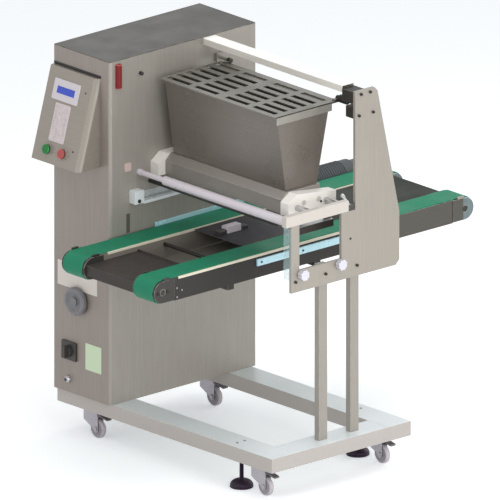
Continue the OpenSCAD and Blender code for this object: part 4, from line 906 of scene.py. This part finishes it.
def onConsole(s, h):
    lean, drop = math.sin(consoleSlope), math.cos(consoleSlope)
    base = spot(consoleSet["width"] * consoleSet["middle"], -consoleSet["lip"] - s * lean,
                consoleSet["topZ"] - s * drop)
    return onFrame(*sides["console"], base + Vector((0, -drop, lean)) * h * mm)


displaySet = {"s": 78, "w": 136, "h": 76, "t": 3, "corner": 4, "lip": 1.0, "screenW": 92, "screenH": 26,
              "screen": (0.7, 1.0, 0.2, 3), "frame": 4, "frameT": 1.0, "sunk": 0.05}
keypadSet = {"s": 195, "w": 80, "h": 140, "t": 2, "corner": 5, "lip": 0.6, "columns": 4, "rows": 7, "across": 54,
             "down": 112}


def frameRing(w, h, border, t):
    bm = slab(w + 2 * border, h + 2 * border, t, 2.5, 0.0, 3)
    hole = bmesh.ops.inset_region(bm, faces=[f for f in bm.faces if f.normal.z > 0.9], thickness=border * 0.9,
                                  use_even_offset=True)
    top = [f for f in bm.faces if f.normal.z > 0.9 and f not in hole["faces"]]
    bmesh.ops.translate(bm, verts=list({v for f in top for v in f.verts}), vec=(0, 0, -t * 0.8))
    return bm


def makeConsole(d, p):
    def addPart(name, bm, finish, s, h):
        return addPiece(name, bm, finish, "frame", onConsole(s, h))

    bezel = addPart("displayBezel", slab(d["w"], d["h"], d["t"], d["corner"], d["lip"]), "panelWhite", d["s"], 0)
    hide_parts("display_panel")
    addPart("displayFrame", frameRing(d["screenW"], d["screenH"], d["frame"], d["frameT"]), "panelWhite", d["s"],
            d["t"] - d["sunk"])
    addPart("displayScreen", slab(d["screenW"], d["screenH"], *d["screen"]), "screenBlue", d["s"], d["t"])
    pad = addPart("keypadSheet", slab(p["w"], p["h"], p["t"], p["corner"], p["lip"]), "keypadLilac", p["s"], 0)
    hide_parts("keypad")
    runTree("keypadKeys", "key", {"Columns": p["columns"], "Rows": p["rows"], "Width": p["across"] * mm,
                                  "Height": p["down"] * mm, "Key": heads["key"], "Finish": mats["keyGrey"]},
            place=onConsole(p["s"], p["t"]) @ Matrix.Scale(1 / mm, 4))


makeConsole(displaySet, keypadSet)

# flat trim: finish, slot, side it lies on, its place, size with corner and edge
plateSet = {
    "frontPlate": ("palePlate", "pale_plastic", "front", (126, 0, 611.5), (212, 93, 1.2, 3, 0.4)),
    "mintPlate": ("mintPlate", "pale_plastic", "front", (212, 0, 326), (85, 100, 1.2, 3, 0.4)),
    "sidePad": ("pinkPad", "pale_plastic", "right", (300, 85, 1054), (32, 32, 4, 6, 0.4)),
    # painted shadow: a black strip standing in for the dark shadow gap between the console's top and the cabinet
    # front
    "consoleSeal": ("blackPlastic", "pale_plastic", "front", (127, 0, 1400), (252, 10, 2.0, 3, 0.4)),
    "hopperRimBand": ("rimSteel", "hopper_steel", "right", (957, 349.5, 1353.5), (267, 27, 2.0, 1.0, 0.6, 3)),
    "wireBar": ("blackPlastic", "black_plastic", "right", (300, 194.5, 981), (17, 15, 700, 4, 1.5, 3)),
    "wireBarHanger": ("blackPlastic", "black_plastic", "right", (978, 209, 997), (46, 18, 22, 3, 1.2, 3)),
    "latchBase": ("switchBlack", "black_plastic", "right", (1074, 433, 1022), (24, 20, 46, 3, 1.5, 3)),
    # painted light: the rail end and lip use the pale lit copy of the rail steel
    "railEnd": ("railTopPale", "aluminium", "right", (300, 117, 939.5), (45, 49, 31.5, 3, 1.2, 3)),
    "railLip": ("railTopPale", "aluminium", "right", (323, 229, 916), (180, 11, 8, 1.5, 0.8, 2)),
    "slotBacking": ("slotGrey", "cabinet_steel", "right", (296, 89, 840), (26, 82, 2, 2, 0.3, 2)),
}
for name, (finish, slot, side, at, size) in plateSet.items():
    addPiece(name, slab(*size), finish, "frame", onSide(side, *at))

latchSet = {"from": (1112, 433, 1024), "to": (1062, 436, 1058), "r": 5.5, "tip": 7.5, "knob": (18, 14, 3)}


def makeLatchLever(s):
    a, b = Vector(s["from"]), Vector(s["to"])
    n, r, tip = (b - a).length, s["r"], s["tip"]
    neck, widest, end = s["knob"]
    profile = [(0, 0), (r, 0), (r, n - neck), (tip, n - widest), (tip, n - end), (tip - end, n), (0, n)]
    along = (b - a).normalized()
    across = Vector((0, 1, 0)).cross(along).normalized()
    addPiece("latchLever", lathe(profile, 24), "brightSteel", "frame",
             onFrame(across, along.cross(across), spot(*s["from"])))


makeLatchLever(latchSet)
glandSet = {"u": 80, "z": 219, "r": 14.5, "bore": 6.6, "length": 17, "nut": 8, "lip": 1.0, "sealT": 2,
            "fit": 0.1, "proud": 1, "dome": ((0.86, 8), (0.9, 9), (0.9, 10), (0.74, 15), (0.62, 17))}


def makeGland(s):
    r, b, n, base = s["r"], s["bore"], s["length"], s["nut"]
    place = onSide("front", s["u"], 0, s["z"])
    corners = [math.radians(60 * k) for k in range(6)]
    hexNut = prism([(r * math.cos(a), r * math.sin(a)) for a in corners], base, s["lip"])
    nut = addPiece("glandNut", hexNut, "brightSteel", "frame", place)
    dome = closeLathe([(b, base)] + [(r * share, h) for share, h in s["dome"]] + [(b, n)])
    addPiece("glandDome", dome, "brightSteel", "frame", place)
    inner, outer, end = b - s["fit"], b + s["sealT"], n + s["proud"]
    seal = closeLathe([(inner, base), (outer, base), (outer, end), (inner, end)], 32)
    addPiece("glandSeal", seal, "glandRubber", "frame", place)
    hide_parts("cable_gland")


makeGland(glandSet)
pinSet = {"at": (300, 147, 1397), "r": 7, "length": 14, "lip": 2}


def makeStopPin(s):
    r, n, lip = s["r"], s["length"], s["lip"]
    addPiece("stopPin", lathe([(0, 0), (r, 0), (r, n - lip), (r - lip, n), (0, n)], 24), "blackPlastic", "frame",
             onSide("right", *s["at"]))


makeStopPin(pinSet)
print("stage: console and trim")

# conveyor: slide strips beside the belts, tension blocks, screws
conveyorSet = {"belts": (360, 739), "half": 52, "panel": 5, "idlerV": -192.7, "driveV": 1271.7,
               "strip": {"v0": -115, "v1": (1194, 930), "z0": 794, "z1": 803, "gap": 0.6, "proud": 1.5,
                         "edge": 0.8},
               "block": {"size": (9, 30, 8, 2.0, 1.5, 3), "in": 20, "out": 4, "z": 800.8},
               "finish": {"Front": "blackPlastic", "Rear": "rimSteel"}}


def makeStrip(name, u0, u1, v1, s):
    bm = slab(u1 - u0, s["z1"] - s["z0"], v1 - s["v0"])
    softenEdges(bm, s["edge"], 2)
    addPiece(name, bm, "stripCream", "frame",
             onSide("rear", (u0 + u1) / 2, s["v0"], (s["z0"] + s["z1"]) / 2))


def makeConveyorTrim(c):
    s, b = c["strip"], c["block"]
    for k, u in enumerate(c["belts"], 1):
        side = u + c["half"]
        makeStrip("slideStrip%d" % k, side + s["gap"], side + c["panel"] + s["proud"], s["v1"][k - 1], s)
        for end, tag, sign, v in (("Front", "Inner", -1, c["idlerV"] + b["in"]),
                                  ("Front", "Outer", 1, c["idlerV"] + b["in"]),
                                  ("Rear", "Outer", 1, c["driveV"] - b["in"])):
            addPiece("tensionBlock%s%s%d" % (end, tag, k), slab(*b["size"]), c["finish"][end], "frame",
                     onSide("top", u + sign * (c["half"] + b["out"]), v, b["z"]))


makeConveyorTrim(conveyorSet)

# screws: finish, then side, u, v, z and head radius of each
coverZ = (200, 620, 1040, 1430)
screwSets = {
    "railScrews": ("screwBright", [("top", 927, v, 168, 5.0) for v in (53, 89, 616, 652)]),
    "plateScrew": ("screwDark", [("right", 1120, 427, 907, 4.0)]),
    "blockScrews": ("screwDark", [("right", 1012, 294, 1027, 4.5), ("right", 1012, 381, 1033, 4.5)]),
    "railBolt": ("screwDark", [("right", 331.5, 114, 926, 7.0)]),
    "endPlateScrews": ("screwDark", [("right", u + 60, conveyorSet["idlerV"] + d, 758, 6.0)
                                     for u in conveyorSet["belts"] for d in (-22, 22)]),
    "panelScrews": ("screwBright", [("right", 796, v, z, 3.5)
                                    for v, z in ((-122, 761), (-98, 749), (-122, 727))]),
    "barScrews": ("screwDark", [("right", 804, v, 774, 4.0) for v in (282, 482, 682)]),
    "consoleScrews": ("screwDark", [("console", 205, -31.7, 1335.3, 3.0),
                                    ("console", 203, -91.3, 1125.6, 3.0)]),
    "coverScrews": ("screwBright", [("left", 0, v, z, 5.0) for v in (40, 352, 665) for z in coverZ]
                    + [("rear", u, 705, z, 5.0) for u in (40, 260) for z in coverZ]),
}
for name, (finish, places) in screwSets.items():
    fasteners(name, finish, places)

# tray sensor: a pale body between dark ears
sensorMid = sum(p.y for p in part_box("tray_sensor")) / 2
earReach = 34 * mm
dressNode("tray_sensor", "panelWhite", 1.5, 2, cuts=(sensorMid - earReach, sensorMid + earReach),
          zones=(("switchBlack", lambda p: abs(p.y - sensorMid) > earReach),))

# cooling ribs round the belt motor
motorSet = {"u": 250, "v0": 985, "below": 50, "count": 16, "pitch": 11.0, "r": 52.0, "t": 3.0}


def makeRibs(s):
    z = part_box("conveyor_motor")[1].z / mm - s["below"]
    runTree("motorRibs", "rib", {"Count": s["count"], "Pitch": s["pitch"] * mm, "Radius": s["r"] * mm,
                                 "Thickness": s["t"] * mm, "Finish": mats["motorPaint"]},
            place=onSide("rear", s["u"], s["v0"], z) @ Matrix.Scale(1 / mm, 4))


makeRibs(motorSet)
print("stage: conveyor trim and screws")

for obj in heads.values():
    bpy.data.objects.remove(obj)

# floor, light and background
stageSet = {"floor": 9.0, "albedo": (0.80, 0.80, 0.80, 1), "glow": (0.325, 0.348, 0.37, 1),
            "share": (0.95, 0.95, 0.95, 1)}
lampSet = {
    "keyLamp": {"at": (3.8, -1.5, 2.4), "size": 3.4, "power": 62.0},
    "fillLamp": {"at": (-0.6, -4.2, 1.8), "size": 3.0, "power": 22.0},
    "topLamp": {"at": (0.2, 0.4, 4.2), "size": 3.2, "power": 48.0},
    "rearLamp": {"at": (0.5, 4.0, 2.4), "size": 2.6, "power": 28.0},
    "lowLamp": {"at": (3.7, 0.3, 0.6), "size": 1.8, "power": 34.0},
}
lampAim = Vector((0, 0, 0.7))
worldLevel = 0.54


def rayShare(tree):
    rays = addNode(tree, "ShaderNodeLightPath")
    total = maths(tree, "ADD", rays.outputs["Is Camera Ray"], rays.outputs["Is Glossy Ray"])
    return maths(tree, "MINIMUM", maths(tree, "ADD", total, rays.outputs["Is Transmission Ray"]), 1.0)


def makeFloor(s):
    mat = bpy.data.materials.new("paleFloor")
    mat.use_nodes = True
    tree = mat.node_tree
    tree.nodes.remove(tree.nodes["Principled BSDF"])
    out = tree.nodes["Material Output"]
    plain = addNode(tree, "ShaderNodeBsdfDiffuse")
    plain.inputs["Color"].default_value = s["albedo"]
    shown = addNode(tree, "ShaderNodeBsdfDiffuse")
    shown.inputs["Color"].default_value = s["share"]
    glow = addNode(tree, "ShaderNodeEmission")
    glow.inputs["Color"].default_value = s["glow"]
    both = addNode(tree, "ShaderNodeAddShader")
    pick = addNode(tree, "ShaderNodeMixShader")
    tree.links.new(shown.outputs[0], both.inputs[0])
    tree.links.new(glow.outputs[0], both.inputs[1])
    tree.links.new(rayShare(tree), pick.inputs[0])
    tree.links.new(plain.outputs[0], pick.inputs[1])
    tree.links.new(both.outputs[0], pick.inputs[2])
    tree.links.new(pick.outputs[0], out.inputs["Surface"])
    h = s["floor"] / 2
    mesh = bpy.data.meshes.new("paleFloor")
    mesh.from_pydata([(-h, -h, 0), (h, -h, 0), (h, h, 0), (-h, h, 0)], [], [(0, 1, 2, 3)])
    mesh.materials.append(mat)
    floor = bpy.data.objects.new("paleFloor", mesh)
    scene.collection.objects.link(floor)


def makeLamp(name, s):
    data = bpy.data.lights.new(name, "AREA")
    data.shape = "SQUARE"
    data.size = s["size"]
    data.energy = s["power"]
    lamp = bpy.data.objects.new(name, data)
    lamp.location = s["at"]
    lamp.rotation_mode = "QUATERNION"
    lamp.rotation_quaternion = (lampAim - Vector(s["at"])).to_track_quat("-Z", "Y")
    scene.collection.objects.link(lamp)


def makeWorld(level):
    world = bpy.data.worlds.new("studio")
    world.use_nodes = True
    tree = world.node_tree
    back = tree.nodes["Background"]
    back.inputs["Color"].default_value = (1, 1, 1, 1)
    span = addNode(tree, "ShaderNodeMapRange")
    span.inputs["To Min"].default_value = level
    span.inputs["To Max"].default_value = 1.0
    tree.links.new(rayShare(tree), span.inputs["Value"])
    tree.links.new(span.outputs["Result"], back.inputs["Strength"])
    scene.world = world


makeFloor(stageSet)
for name, s in lampSet.items():
    makeLamp(name, s)
makeWorld(worldLevel)
print("stage: floor and light")
